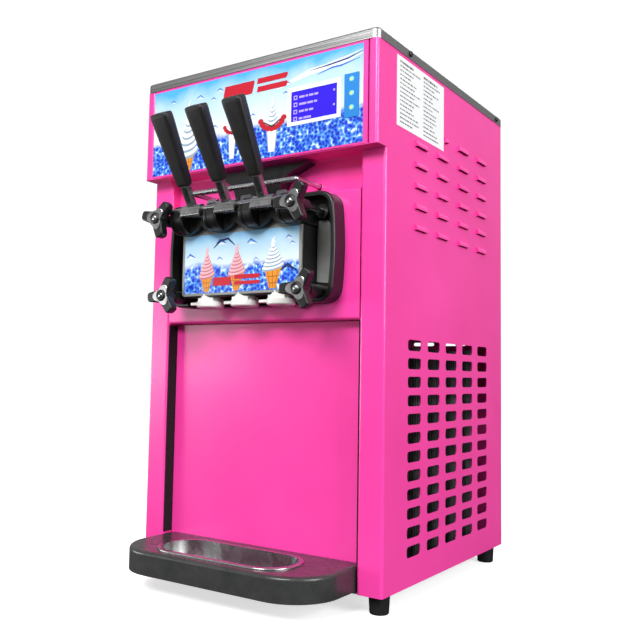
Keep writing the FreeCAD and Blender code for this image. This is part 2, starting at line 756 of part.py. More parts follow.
def head_block():
    flange = flange_outline(0, post_face, flange_face)
    front_edges = [e for e in flange.Edges if all(abs(v.Y - flange_face) < 1e-6 for v in e.Vertexes)]
    flange = flange.makeFillet(2.5, front_edges)
    flange = flange.cut(flange_outline(6.0, flange_floor, flange_face - 1))
    flange = flange.cut(box(-block_half, block_half, flange_face - 1, flange_floor, 390, block_bottom))
    block = slab_xz(-block_half, block_half, block_bottom, 512, 6, flange_floor + 1, block_face)
    rim = [e for e in block.Edges if all(abs(v.Y - block_face) < 1e-6 for v in e.Vertexes)]
    block = block.makeFillet(2.0, rim)
    parts = [flange, block, scalloped_shelf()] + [drum(x) for x in drum_xs]
    for x in (-stud_x, stud_x):
        lower_end = lower_knob_face + lower_knob_depth + 0.1
        parts.append(rod((x, flange_floor + 2, lower_stud_z), (x, lower_end, lower_stud_z), 9.5))
        parts.append(rod((x, flange_floor + 2, upper_stud_z), (x, flange_floor - 8, upper_stud_z), 9.5))
    body = fuse(parts)
    cuts = [rod((-120, pivot_y, pivot_z), (120, pivot_y, pivot_z), pin_radius)]
    for x in nozzle_xs:
        cuts.append(rod((x, bore_y, 400), (x, bore_y, shelf_top + 30), bore_radius + running))
        cuts.append(rod((x, bore_y, 400), (x, bore_y, block_bottom + 5), 15.6))
        cuts.append(box(x - 11, x + 11, flange_face - 1, flange_floor, 530, flange_top + 5))
    for x in (-barrel_x, barrel_x):
        cuts.append(rod((x, post_face + 1, feed_z), (x, bore_y, feed_z), 8))
        cuts.append(rod((0.6 * x, post_face + 1, feed_z), (0, bore_y, feed_z), 6))
        groove = rod((x, post_face + 1, barrel_z), (x, post_face - 2.2, barrel_z), barrel_outer + 2.1)
        cuts.append(groove.cut(rod((x, post_face + 2, barrel_z), (x, post_face - 3, barrel_z), barrel_inner)))
    for x in (-stud_x, stud_x):
        for z in (upper_stud_z, lower_stud_z):
            cuts.append(rod((x, post_face + 1, z), (x, post_face - 120, z), stud_radius + 0.5))
    for tool in cuts:
        body = body.cut(tool)
    return body


def head_gaskets():
    rings = []
    for x in (-barrel_x, barrel_x):
        outer = rod((x, post_face, barrel_z), (x, post_face - 2.1, barrel_z), barrel_outer + 1.9)
        inner = rod((x, post_face + 1, barrel_z), (x, post_face - 3, barrel_z), barrel_inner + 0.2)
        rings.append(outer.cut(inner))
    return Part.makeCompound(rings)


def head_decal():
    return slab_xz(-100, 100, 414.5, 498, 2, block_face, block_face - 0.5)


def head_studs():
    studs = []
    for x in (-stud_x, stud_x):
        for z, face in ((upper_stud_z, upper_knob_face), (lower_stud_z, lower_knob_face)):
            studs.append(rod((x, post_face + 11, z), (x, face + 8, z), stud_radius))
    return Part.makeCompound(studs)


def pivot_rod():
    """One rod through all the drums, which the three levers turn on."""
    end = drum_xs[-1] + drum_half + 0.8
    return rod((-end, pivot_y, pivot_z), (end, pivot_y, pivot_z), pin_radius)


def lever_shroud():
    """Hood over the top of the head that flares out under the header."""
    y1 = recess_face
    top = header_bottom - 4.2
    outline = [(-86, top, 0), (86, top, 0), (44, 577.0, 30), (38, 553.0, 4), (-38, 553.0, 4), (-44, 577.0, 30)]
    points = [Vector(x, y1, z) for x, z, radius in outline]
    return plate(points, [radius for x, z, radius in outline], Vector(0, -22.0, 0))


def piston():
    """Draw valve: a solid plug, necked to a flat eye that the lever's finger lifts."""
    plug = rod((0, bore_y, 414), (0, bore_y, 502), bore_radius)
    grooves = []
    for z in (418.0, 446.0, 488.0):
        ring = rod((0, bore_y, z), (0, bore_y, z + 3), bore_radius + 1)
        grooves.append(ring.cut(rod((0, bore_y, z - 1), (0, bore_y, z + 4), bore_radius - 2)))
    eye = slab_xz(-9, 9, 496, pivot_z + 22, 3, bore_y - 4, bore_y + 4)
    window = box(-5.5, 5.5, bore_y - 6, bore_y + 6, pivot_z - 5.5, pivot_z + 9)
    return fuse([plug, eye]).cut(Part.makeCompound(grooves + [window]))


def lever_arm():
    """Stainless lever: bracket on the pivot rod, a channel up to the grip, a finger back to the valve."""
    hub = rod((-17, pivot_y, pivot_z), (17, pivot_y, pivot_z), 7)
    bracket = slab_yz(pivot_y - 8.5, pivot_y + 5, pivot_z - 10.5, pivot_z, 2.5, -17, 17)
    stem = box(-6, 6, pivot_y - 4, pivot_y + 4, pivot_z, pivot_z + 36)
    hollow = box(-4.2, 4.2, pivot_y - 5, pivot_y + 1.5, pivot_z + 9, pivot_z + 34)
    tang = box(-6, 6, pivot_y - 2, pivot_y + 2, pivot_z + 35, pivot_z + 100)
    tilted = [stem.cut(hollow), tang]
    for piece in tilted:
        piece.rotate(Vector(0, pivot_y, pivot_z), Vector(1, 0, 0), grip_lean)
    finger = slab_xy(-4, 4, pivot_y, pivot_y + 56, 2.5, pivot_z - 2.5, pivot_z + 2.5)
    bore = rod((-20, pivot_y, pivot_z), (20, pivot_y, pivot_z), pin_radius + running)
    return fuse([hub, bracket, finger] + tilted).cut(bore)


grip_foot = 36.2
grip_top = 139.0


def grip():
    """Tapered paddle grip, pushed over the lever's tang."""
    stations = [(0.0, 19.0, 13.0, 4.0), (10.0, 22.0, 14.5, 4.5), (98.0, 31.0, 17.0, 5.0), (102.8, 28.0, 14.0, 4.5)]
    wires = []
    for rise, width, depth, corner in stations:
        z = pivot_z + grip_foot + rise
        a, b = width / 2, depth / 2
        corners = [
            Vector(-a, pivot_y - b, z),
            Vector(a, pivot_y - b, z),
            Vector(a, pivot_y + b, z),
            Vector(-a, pivot_y + b, z),
        ]
        wires.append(Part.Wire(rounded_path(corners, [corner] * 4, True)))
    paddle = Part.makeLoft(wires, True, True)
    tang = box(-6, 6, pivot_y - 2, pivot_y + 2, pivot_z + 30, pivot_z + 100)
    paddle = paddle.cut(tang)
    paddle.rotate(Vector(0, pivot_y, pivot_z), Vector(1, 0, 0), grip_lean)
    return paddle


def star_knob(x, z, face, depth, turn):
    """Three-lobed clamping knob with a blind bore for the stud."""
    points = []
    radii = []
    for k in range(3):
        for offset, reach, radius in ((-60, 10.5, 4.0), (-13, 29.0, 5.0), (13, 29.0, 5.0)):
            angle = math.radians(120 * k + turn + offset)
            points.append(Vector(reach * math.cos(angle), reach * math.sin(angle), 0))
            radii.append(radius)
    star = plate(points, radii, Vector(0, 0, 13))
    edges = [e for e in star.Edges if abs(e.BoundBox.ZLength) < 0.01]
    star = star.makeFillet(2.2, edges)
    hub = Part.makeCylinder(11.5, 15, Vector(0, 0, 0))
    stem = Part.makeCylinder(8.5, depth, Vector(0, 0, 0))
    bore = Part.makeCylinder(stud_radius + running, depth, Vector(0, 0, 7.5))
    knob = fuse([star, hub, stem]).cut(bore)
    knob.rotate(Vector(0, 0, 0), Vector(1, 0, 0), -90)
    knob.translate(Vector(x, face, z))
    return knob


def nozzle_caps():
    """White star nozzles pushed up into the head, each with a thumb tab and four ribs."""
    caps = []
    top = block_bottom - 6.0
    for x in nozzle_xs:
        disc = Part.makeCylinder(19.8, 8.5, Vector(x, bore_y, top - 8.5))
        low = [e for e in disc.Edges if len(e.Vertexes) == 1 and e.CenterOfMass.z < top - 5]
        disc = disc.makeFillet(2.5, low)
        neck = Part.makeCylinder(15.4, 11.0, Vector(x, bore_y, top - 0.5))
        tab = slab_xy(x - 36, x - 12, bore_y - 6, bore_y + 6, 5, top - 4, top - 0.2)
        ribs = []
        for k in range(4):
            rib = box(14.8, 18.2, -1.6, 1.6, top - 1, block_bottom - 1)
            rib.rotate(Vector(0, 0, 0), Vector(0, 0, 1), 45 + 90 * k)
            rib.translate(Vector(x, bore_y, 0))
            ribs.append(rib)
        points = []
        for k in range(12):
            radius = 11.0 if k % 2 == 0 else 6.5
            angle = math.radians(30 * k)
            spot = Vector(x + radius * math.cos(angle), bore_y + radius * math.sin(angle), top - 9)
            points.append(spot)
        star = Part.Face(Part.makePolygon(points + [points[0]])).extrude(Vector(0, 0, 8))
        cup = rod((x, bore_y, top - 5), (x, bore_y, top + 20), 12.5)
        caps.append(fuse([disc, neck, tab] + ribs).cut(star).cut(cup))
    return Part.makeCompound(caps)


def switch_bail():
    """Stainless bar behind the levers, whose arms slide into the cabinet to the start switch."""
    bar = rod((-bail_x, bail_y, bail_z), (bail_x, bail_y, bail_z), bail_radius)
    parts = [bar]
    for x in (-bail_x, bail_x):
        parts.append(Part.makeSphere(bail_radius, Vector(x, bail_y, bail_z)))
        parts.append(rod((x, bail_y, bail_z), (x, recess_face + 14, bail_z), bail_radius))
    return fuse(parts)


# ---- drip tray ----
tray_front = post_face - 108.0
tray_rear = panel_face - 1.0
tray_bottom = 28.0
tray_top = 60.0
basin_y = post_face - 50.0
basin_half = 66.0  # half the straight run between the round ends
basin_radius = 42.0


def tray_outline(inset, z0, z1):
    x = opening_half - 2.0 - inset
    y0 = tray_front + inset
    y1 = tray_rear - inset
    corners = [Vector(-x, y1, z0), Vector(-x, y0, z0), Vector(x, y0, z0), Vector(x, y1, z0)]
    return plate(corners, [0, 66.0 - inset, 66.0 - inset, 0], Vector(0, 0, z1 - z0))


def stadium(radius, z0, z1):
    left = rod((-basin_half, basin_y, z0), (-basin_half, basin_y, z1), radius)
    right = rod((basin_half, basin_y, z0), (basin_half, basin_y, z1), radius)
    return fuse([left, right, box(-basin_half, basin_half, basin_y - radius, basin_y + radius, z0, z1)])


def tray_body():
    outside = tray_outline(0, tray_bottom, tray_top)
    rim = [e for e in outside.Edges if all(abs(v.Z - tray_top) < 1e-6 for v in e.Vertexes)]
    rim = [e for e in rim if e.CenterOfMass.y < tray_rear - 1]
    outside = outside.makeFillet(5.0, rim)
    return outside.cut(tray_outline(3.0, tray_bottom - 1, tray_top - 3)).cut(stadium(basin_radius, 40, 70))


def drip_basin():
    bowl = stadium(basin_radius - 1.0, tray_bottom + 4, tray_top + 0.2)
    floor = [e for e in bowl.Edges if abs(e.BoundBox.ZMax - (tray_bottom + 4)) < 0.01]
    bowl = bowl.makeFillet(6.0, floor)
    rim = stadium(basin_radius + 4.0, tray_top + 0.2, tray_top + 2.4)
    top = [e for e in rim.Edges if abs(e.BoundBox.ZMin - (tray_top + 2.4)) < 0.01]
    rim = rim.makeFillet(1.6, top)
    inside = stadium(basin_radius - 2.2, tray_bottom + 5.2, tray_top + 10)
    low = [e for e in inside.Edges if abs(e.BoundBox.ZMax - (tray_bottom + 5.2)) < 0.01]
    inside = inside.makeFillet(4.8, low)
    return fuse([bowl, rim]).cut(inside)


# ---- every node ----
right_side = side_panel(True)
left_side = mirror_x(side_panel(False))
nodes = {
    "base_pan": base_pan(),
    "feet": feet(),
    "side_panel_right": right_side,
    "side_panel_left": left_side,
    "rear_panel": rear_panel(),
    "service_panel": service_panel(),
    "head_fascia": head_fascia(),
    "header_panel": header_panel(),
    "graphic_overlay": graphic_overlay(),
    "display_window": display_window(),
    "control_board": control_board(),
    "top_frame": top_frame(),
    "panel_screws": panel_screws(),
    "rating_plate": rating_plate(),
    "mains_inlet": mains_inlet(),
    "hopper_right": hopper(),
    "hopper_left": mirror_x(hopper()),
    "hopper_lid_right": hopper_lid(),
    "hopper_lid_left": mirror_x(hopper_lid()),
    "freezing_unit": freezing_unit(),
    "insulation": insulation(),
    "beater_left": beater(-barrel_x),
    "beater_right": beater(barrel_x),
    "gearbox": gearbox(),
    "input_pulley": grooved_pulley(input_pulley_z, input_radius, 168, 8),
    "motor_pulley": grooved_pulley(motor_z, motor_radius, 152, 7),
    "drive_belt": drive_belt(),
    "drive_motor": drive_motor(),
    "compressor": compressor(),
    "condenser": condenser(),
    "fan_shroud": fan_shroud(),
    "fan_motor": fan_motor(),
    "fan_rotor": fan_rotor(),
    "refrigerant_pipes": refrigerant_pipes(),
    "head_block": head_block(),
    "head_gaskets": head_gaskets(),
    "head_decal": head_decal(),
    "head_studs": head_studs(),
    "pivot_rod": pivot_rod(),
    "lever_shroud": lever_shroud(),
    "nozzle_caps": nozzle_caps(),
    "switch_bail": switch_bail(),
    "tray_body": tray_body(),
    "drip_basin": drip_basin(),
}
for name, z in zip(("upper", "middle", "lower"), button_levels):
    nodes["button_" + name] = button(z)
for name, x in zip(("left", "middle", "right"), nozzle_xs):
    for kind, shape in (("piston", piston()), ("lever_arm", lever_arm()), ("grip", grip())):
        shape.translate(Vector(x, 0, 0))
        nodes[kind + "_" + name] = shape
for side, x, upper_turn, lower_turn in (("left", -stud_x, 75, 56), ("right", stud_x, 61, 62)):
    nodes["knob_upper_" + side] = star_knob(x, upper_stud_z, upper_knob_face, upper_knob_depth, upper_turn)
    nodes["knob_lower_" + side] = star_knob(x, lower_stud_z, lower_knob_face, lower_knob_depth, lower_turn)

whole = FreeCAD.BoundBox()
for name, shape in nodes.items():
    export(name, shape)
    whole.add(shape.BoundBox)
limits = (whole.XMin, whole.XMax, whole.YMin, whole.YMax, whole.ZMin, whole.ZMax)
print(len(nodes), "nodes, box", [round(v, 2) for v in limits])
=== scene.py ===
import json
import math
import random

import bmesh
import bpy
from mathutils import Matrix, Vector


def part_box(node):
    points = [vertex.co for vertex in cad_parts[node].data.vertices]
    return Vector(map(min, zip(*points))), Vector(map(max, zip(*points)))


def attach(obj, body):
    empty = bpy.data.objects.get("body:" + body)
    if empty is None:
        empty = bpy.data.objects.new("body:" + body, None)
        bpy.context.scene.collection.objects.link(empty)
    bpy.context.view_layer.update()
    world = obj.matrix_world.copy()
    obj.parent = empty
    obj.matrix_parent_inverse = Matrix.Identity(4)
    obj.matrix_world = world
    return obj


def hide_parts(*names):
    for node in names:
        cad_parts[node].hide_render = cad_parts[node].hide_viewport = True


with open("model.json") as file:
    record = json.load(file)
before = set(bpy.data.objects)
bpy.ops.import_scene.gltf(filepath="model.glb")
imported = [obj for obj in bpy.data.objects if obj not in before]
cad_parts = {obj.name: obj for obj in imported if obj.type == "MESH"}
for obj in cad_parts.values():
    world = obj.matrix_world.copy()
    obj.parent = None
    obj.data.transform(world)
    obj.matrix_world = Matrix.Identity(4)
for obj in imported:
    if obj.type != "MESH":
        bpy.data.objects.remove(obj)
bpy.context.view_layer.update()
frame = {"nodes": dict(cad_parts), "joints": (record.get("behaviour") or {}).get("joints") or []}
nodes = frame["nodes"]
joints = {joint["name"]: joint for joint in frame["joints"]}
mm = 0.001
random.seed(7)
print("frame loaded:", len(nodes), "nodes")


def linear(hexColour):  # sRGB hex, such as FF48AE, to the linear values that the shaders use
    channels = [int(hexColour[i:i + 2], 16) / 255 for i in (0, 2, 4)]
    return [c / 12.92 if c <= 0.04045 else ((c + 0.055) / 1.055) ** 2.4 for c in channels] + [1.0]


def addNode(tree, kind, settings=None, links=None):
    node = tree.nodes.new(kind)
    for name, value in (settings or {}).items():
        if isinstance(name, str) and hasattr(node, name) and name not in node.inputs:
            setattr(node, name, value)
        else:
            node.inputs[name].default_value = value
    for name, source in (links or {}).items():
        tree.links.new(source, node.inputs[name])
    return node


def startMaterial(name, colour, settings):  # a named material with its viewport colour, ready for its detail
    material = bpy.data.materials.new(name)
    material.use_nodes = True
    tree = material.node_tree
    shader = tree.nodes["Principled BSDF"]
    shader.inputs["Base Color"].default_value = linear(colour)
    for socket, value in settings.items():
        shader.inputs[socket].default_value = value
    material.diffuse_color = linear(colour)
    return material, tree, shader


def perMetre(spacing):  # how many pattern cells fit in a metre, from the cell's size in millimetres
    return 1000 / spacing


def placeOf(tree, stretch=(1, 1, 1)):  # the point on the machine, in metres, stretched along each axis
    where = addNode(tree, "ShaderNodeTexCoord")
    mapping = addNode(tree, "ShaderNodeMapping", {"Scale": stretch}, {"Vector": where.outputs["Object"]})
    return mapping.outputs["Vector"]


def varyColour(tree, shader, dark, light, spacing, stretch=(1, 1, 1), detail=3.0):
    cloud = addNode(tree, "ShaderNodeTexNoise", {"Scale": perMetre(spacing), "Detail": detail},
                    {"Vector": placeOf(tree, stretch)})
    ramp = addNode(tree, "ShaderNodeValToRGB", links={"Fac": cloud.outputs["Fac"]})
    ramp.color_ramp.elements[0].position = 0.3
    ramp.color_ramp.elements[0].color = linear(dark)
    ramp.color_ramp.elements[1].position = 0.7
    ramp.color_ramp.elements[1].color = linear(light)
    tree.links.new(ramp.outputs["Color"], shader.inputs["Base Color"])
    return ramp


def varyRoughness(tree, shader, low, high, spacing, stretch=(1, 1, 1)):
    cloud = addNode(tree, "ShaderNodeTexNoise", {"Scale": perMetre(spacing), "Detail": 4.0},
                    {"Vector": placeOf(tree, stretch)})
    limits = {"From Min": 0.3, "From Max": 0.7, "To Min": low, "To Max": high}
    spread = addNode(tree, "ShaderNodeMapRange", limits,
                     {"Value": cloud.outputs["Fac"]})
    tree.links.new(spread.outputs["Result"], shader.inputs["Roughness"])


def raiseGrain(tree, shader, spacing, depth, stretch=(1, 1, 1), detail=2.0):
    grain = addNode(tree, "ShaderNodeTexNoise", {"Scale": perMetre(spacing), "Detail": detail},
                    {"Vector": placeOf(tree, stretch)})
    bump = addNode(tree, "ShaderNodeBump", {"Strength": 1.0, "Distance": depth * mm},
                   {"Height": grain.outputs["Fac"]})
    tree.links.new(bump.outputs["Normal"], shader.inputs["Normal"])


def powderCoatedSteel():  # polyester powder, sprayed and baked: deep gloss with a soft orange peel
    powder = {"dark": "F63BA0", "light": "FF45AB", "peel": 3.2, "peelDepth": 0.012, "drift": 160}
    material, tree, shader = startMaterial("glossPowderCoat", "FF40A8", {
        "Roughness": 0.3, "IOR": 1.5, "Coat Weight": 0.25, "Coat Roughness": 0.12})
    varyColour(tree, shader, powder["dark"], powder["light"], powder["drift"])
    raiseGrain(tree, shader, powder["peel"], powder["peelDepth"])
    return material


def brushedStainless(name, along, dark, light, roughness=(0.24, 0.4)):  # rolled sheet, belt-brushed one way
    lines = {"width": 0.5, "length": 90, "depth": 0.02}  # real lines are finer; these are wide enough to show
    stretch = [1.0, 1.0, 1.0]
    stretch["XYZ".index(along)] = lines["width"] / lines["length"]
    material, tree, shader = startMaterial(name, light, {"Metallic": 1.0, "Anisotropic": 0.4})
    varyColour(tree, shader, dark, light, lines["width"] * 2, stretch)
    varyRoughness(tree, shader, roughness[0], roughness[1], lines["width"] * 3, stretch)
    raiseGrain(tree, shader, lines["width"], lines["depth"], stretch)
    return material


def polishedStainless():  # drawn and polished: clear reflections, a little handling haze
    material, tree, shader = startMaterial("polishedStainless", "ACADAD", {"Metallic": 1.0})
    varyRoughness(tree, shader, 0.2, 0.34, 18)
    raiseGrain(tree, shader, 6, 0.01)
    return material


def galvanisedSheet():  # hot-dip zinc: pale grey with a crystalline spangle
    spangle = {"size": 9, "dark": "8B9193", "light": "B4B9BB"}
    material, tree, shader = startMaterial("galvanisedSheet", "A4A9AB", {"Metallic": 0.85, "Roughness": 0.45})
    cells = addNode(tree, "ShaderNodeTexVoronoi", {"Scale": perMetre(spangle["size"])},
                    {"Vector": placeOf(tree)})
    ramp = addNode(tree, "ShaderNodeValToRGB", links={"Fac": cells.outputs["Color"]})
    ramp.color_ramp.elements[0].color = linear(spangle["dark"])
    ramp.color_ramp.elements[1].color = linear(spangle["light"])
    tree.links.new(ramp.outputs["Color"], shader.inputs["Base Color"])
    return material


def castAluminium():  # gravity casting, bead-blasted: dull silver with a sandy skin
    material, tree, shader = startMaterial("castAluminium", "A8AAAC", {"Metallic": 0.9})
    varyColour(tree, shader, "989A9C", "B6B8BA", 12)
    varyRoughness(tree, shader, 0.42, 0.6, 7)
    raiseGrain(tree, shader, 1.2, 0.08, detail=4.0)
    return material


def condenserFins():  # thin aluminium strip, bare, with dust in it
    material, tree, shader = startMaterial("finStock", "8E9092", {"Metallic": 0.8, "Roughness": 0.5})
    varyColour(tree, shader, "5E5F60", "9FA1A2", 30)
    return material


def copperTube():  # drawn copper, browned by the torch near its joints
    material, tree, shader = startMaterial("copperTube", "C4754F", {"Metallic": 1.0})
    varyColour(tree, shader, "8E4A30", "CF8058", 25)
    varyRoughness(tree, shader, 0.2, 0.42, 10)
    return material


def blackEnamel():  # baked enamel on pressed steel: wet-looking black
    material, tree, shader = startMaterial("blackEnamel", "0C0C0D", {"IOR": 1.5, "Coat Weight": 0.5})
    varyRoughness(tree, shader, 0.22, 0.36, 14)
    raiseGrain(tree, shader, 4, 0.02)
    return material


def mouldedPlastic(name, dark, light, roughness, texture=(0.9, 0.03)):  # injection-moulded, spark-eroded skin
    material, tree, shader = startMaterial(name, light, {"IOR": 1.52})
    varyColour(tree, shader, dark, light, 26)
    varyRoughness(tree, shader, roughness[0], roughness[1], 9)
    raiseGrain(tree, shader, texture[0], texture[1], detail=3.0)
    return material


def whiteAcetal():  # machined or moulded acetal: milky white, faintly see-through at its edges
    material, tree, shader = startMaterial("whiteAcetal", "EEEEEA", {
        "IOR": 1.48, "Subsurface Weight": 0.15, "Subsurface Radius": (0.004, 0.004, 0.004)})
    varyColour(tree, shader, "E6E6E1", "F4F4F1", 20)
    varyRoughness(tree, shader, 0.28, 0.4, 8)
    return material


def lidPlastic():  # frosted polycarbonate lid: cool, milky, soft gloss
    material, tree, shader = startMaterial("frostedPolycarbonate", "DCE3E6", {
        "IOR": 1.58, "Coat Weight": 0.2})
    varyColour(tree, shader, "D3DBDF", "E4EAEC", 40)
    varyRoughness(tree, shader, 0.25, 0.36, 12)
    raiseGrain(tree, shader, 2, 0.015)
    return material


def rubber(name, dark, light):  # moulded nitrile: matt, with a powdery bloom
    material, tree, shader = startMaterial(name, light, {"IOR": 1.5, "Specular IOR Level": 0.35})
    varyColour(tree, shader, dark, light, 8)
    varyRoughness(tree, shader, 0.62, 0.82, 5)
    raiseGrain(tree, shader, 1.4, 0.05)
    return material


def cellFoam():  # closed-cell foam: matt skin with fine pores
    material, tree, shader = startMaterial("closedCellFoam", "4A4B4D", {"Roughness": 0.9})
    varyColour(tree, shader, "3E3F41", "56575A", 6)
    raiseGrain(tree, shader, 1.6, 0.2, detail=4.0)
    return material


def circuitBoard():  # solder mask over glass laminate: green, with the copper's tracks showing through
    mask = {"dark": "0E5A2E", "light": "12672F", "track": "1F8A44", "pitch": 4, "trackWidth": 0.06}
    material, tree, shader = startMaterial("solderMask", mask["dark"], {"Roughness": 0.35, "IOR": 1.5})
    settings = {"Scale": perMetre(mask["pitch"]), "Color1": linear(mask["dark"]),
                "Color2": linear(mask["light"]), "Mortar": linear(mask["track"]),
                "Mortar Size": mask["trackWidth"]}
    tracks = addNode(tree, "ShaderNodeTexBrick", settings, {"Vector": placeOf(tree)})
    tree.links.new(tracks.outputs["Color"], shader.inputs["Base Color"])
    return material


def printedInk(name, colour, roughness=0.24, glow=0.0):  # solvent ink under a gloss laminate
    settings = {"Roughness": roughness, "IOR": 1.5, "Coat Weight": 0.3, "Coat Roughness": 0.08}
    if glow:
        settings.update({"Emission Color": linear(colour), "Emission Strength": glow})
    material, tree, shader = startMaterial(name, colour, settings)
    raiseGrain(tree, shader, 5, 0.006)
    return material


def fillRamp(ramp, stops):  # stops are (position, sRGB hex), first to last
    elements = ramp.color_ramp.elements
    elements[0].position, elements[0].color = stops[0][0], linear(stops[0][1])
    elements[1].position, elements[1].color = stops[-1][0], linear(stops[-1][1])
    for position, colour in stops[1:-1]:
        elements.new(position).color = linear(colour)


def skyPrint(name, low, high, iceTop, sky="4FB0F0"):
    # gloss film: blue sky fading to white above a bank of broken ice; low, high and iceTop are in metres
    ice = {"size": 5.4, "glint": 9, "glintShare": 1.25, "spread": 1.7,
           "stops": [(0.0, "1D33C4"), (0.56, "2A5FDE"), (0.66, "4A8CEC"), (0.77, "8FC2F6"), (0.88, "F2F8FF")]}
    air = {"drift": 45, "sway": 0.35, "rise": 0.17, "stops": [(0.38, "E9F3F9"), (0.84, "AFD6EE"), (1.0, sky)]}
    shoreLine = {"sway": -0.03, "upper": 0.013, "lower": 0.021}
    material, tree, shader = startMaterial(name, "BFE0F8", {
        "Roughness": 0.22, "IOR": 1.5, "Coat Weight": 0.3, "Coat Roughness": 0.06})
    place = placeOf(tree)
    span = high - low
    axes = addNode(tree, "ShaderNodeSeparateXYZ", links={"Vector": place})
    drift = addNode(tree, "ShaderNodeTexNoise", {"Scale": perMetre(air["drift"]), "Detail": 4.0},
                    {"Vector": place})
    sway = addNode(tree, "ShaderNodeMath", {"operation": "MULTIPLY_ADD", 1: span * air["sway"]},
                   {0: drift.outputs["Fac"], 2: axes.outputs["Z"]})
    lift = span * air["rise"]
    height = addNode(tree, "ShaderNodeMapRange", {"From Min": low + lift, "From Max": high + lift},
                     {"Value": sway.outputs["Value"]})
    skyRamp = addNode(tree, "ShaderNodeValToRGB", links={"Fac": height.outputs["Result"]})
    fillRamp(skyRamp, air["stops"])
    facets = addNode(tree, "ShaderNodeTexVoronoi", {"Scale": perMetre(ice["size"]), "Randomness": 0.9},
                     {"Vector": place})
    glintSettings = {"Scale": perMetre(ice["glint"]), "Detail": 3.0, "Distortion": 1.6}
    glints = addNode(tree, "ShaderNodeTexNoise", glintSettings, {"Vector": place})
    blend = addNode(tree, "ShaderNodeMath", {"operation": "MULTIPLY_ADD", 1: ice["glintShare"]},
                    {0: glints.outputs["Fac"], 2: facets.outputs["Distance"]})
    spread = addNode(tree, "ShaderNodeMapRange", {"From Max": ice["spread"]},
                     {"Value": blend.outputs["Value"]})
    iceRamp = addNode(tree, "ShaderNodeValToRGB", links={"Fac": spread.outputs["Result"]})
    iceRamp.color_ramp.interpolation = "CONSTANT"
    fillRamp(iceRamp, ice["stops"])
    shore = addNode(tree, "ShaderNodeMath", {"operation": "MULTIPLY_ADD", 1: shoreLine["sway"]},
                    {0: drift.outputs["Fac"], 2: axes.outputs["Z"]})
    edges = {"From Min": iceTop - shoreLine["upper"], "From Max": iceTop - shoreLine["lower"]}
    mask = addNode(tree, "ShaderNodeMapRange", edges, {"Value": shore.outputs["Value"]})
    both = addNode(tree, "ShaderNodeMix", {"data_type": "RGBA"},
                   {0: mask.outputs["Result"], 6: skyRamp.outputs["Color"], 7: iceRamp.outputs["Color"]})
    tree.links.new(both.outputs[2], shader.inputs["Base Color"])
    return material


materials = {
    "paint": powderCoatedSteel(),
    "rim": brushedStainless("brushedStainlessRim", "X", "7E7F80", "B2B2B1"),
    "steel": brushedStainless("brushedStainless", "Y", "A9AAAB", "D6D6D4"),
    "polished": polishedStainless(),
    "zinc": galvanisedSheet(),
    "casting": castAluminium(),
    "fins": condenserFins(),
    "copper": copperTube(),
    "enamel": blackEnamel(),
    "headPlastic": mouldedPlastic("blackNylonMoulding", "0A0B0A", "121312", (0.3, 0.42)),
    "gripPlastic": mouldedPlastic("blackGripMoulding", "101110", "181918", (0.42, 0.56), (0.7, 0.05)),
    "headPlate": mouldedPlastic("greyFacePlate", "868784", "969794", (0.34, 0.46)),
    # a grey moulding used only to paint the highlight on the flange
    "highlightPlate": mouldedPlastic("paintedHighlightGrey", "777875", "858683", (0.36, 0.46)),
    "trayPlastic": mouldedPlastic("charcoalMoulding", "2E2F2F", "3A3B3A", (0.24, 0.34), (1.1, 0.03)),
    "acetal": whiteAcetal(),
    "lid": lidPlastic(),
    "rubber": rubber("blackRubber", "0B0B0B", "151515"),
    "gasket": rubber("redRubber", "7A1A10", "962418"),
    "foam": cellFoam(),
    "board": circuitBoard(),
    "whiteInk": printedInk("whiteInk", "F4F7FA"),
    "creamShade": printedInk("creamShadeInk", "93A9BF"),
    "navyInk": printedInk("navyInk", "1B2F6E"),
    "blueInk": printedInk("blueInk", "3B78D8"),
    "redInk": printedInk("redInk", "C4142C"),
    "pinkInk": printedInk("pinkInk", "C9707F"),
    "palePinkInk": printedInk("palePinkInk", "F0B7BE"),
    "waferInk": printedInk("waferInk", "E8962A"),
    "darkWaferInk": printedInk("darkWaferInk", "B9651A"),
    "brownInk": printedInk("brownInk", "5A2A1A"),
    "stripInk": printedInk("keyStripInk", "2686D6"),
    "label": printedInk("labelStock", "F8F9FA", 0.45),
    "labelInk": printedInk("labelInk", "4C5054", 0.45),
    "lcd": printedInk("litDisplay", "2A12C6", 0.12, 0.42),
    "lcdBars": printedInk("litBars", "9C8CFF", 0.2, 0.6),
    "lamp": printedInk("lampGreen", "C8E86A", 0.3, 0.5),
    "lampEdge": printedInk("lampEdge", "6FC7D8", 0.3, 0.1),
}
print("materials made:", len(materials))

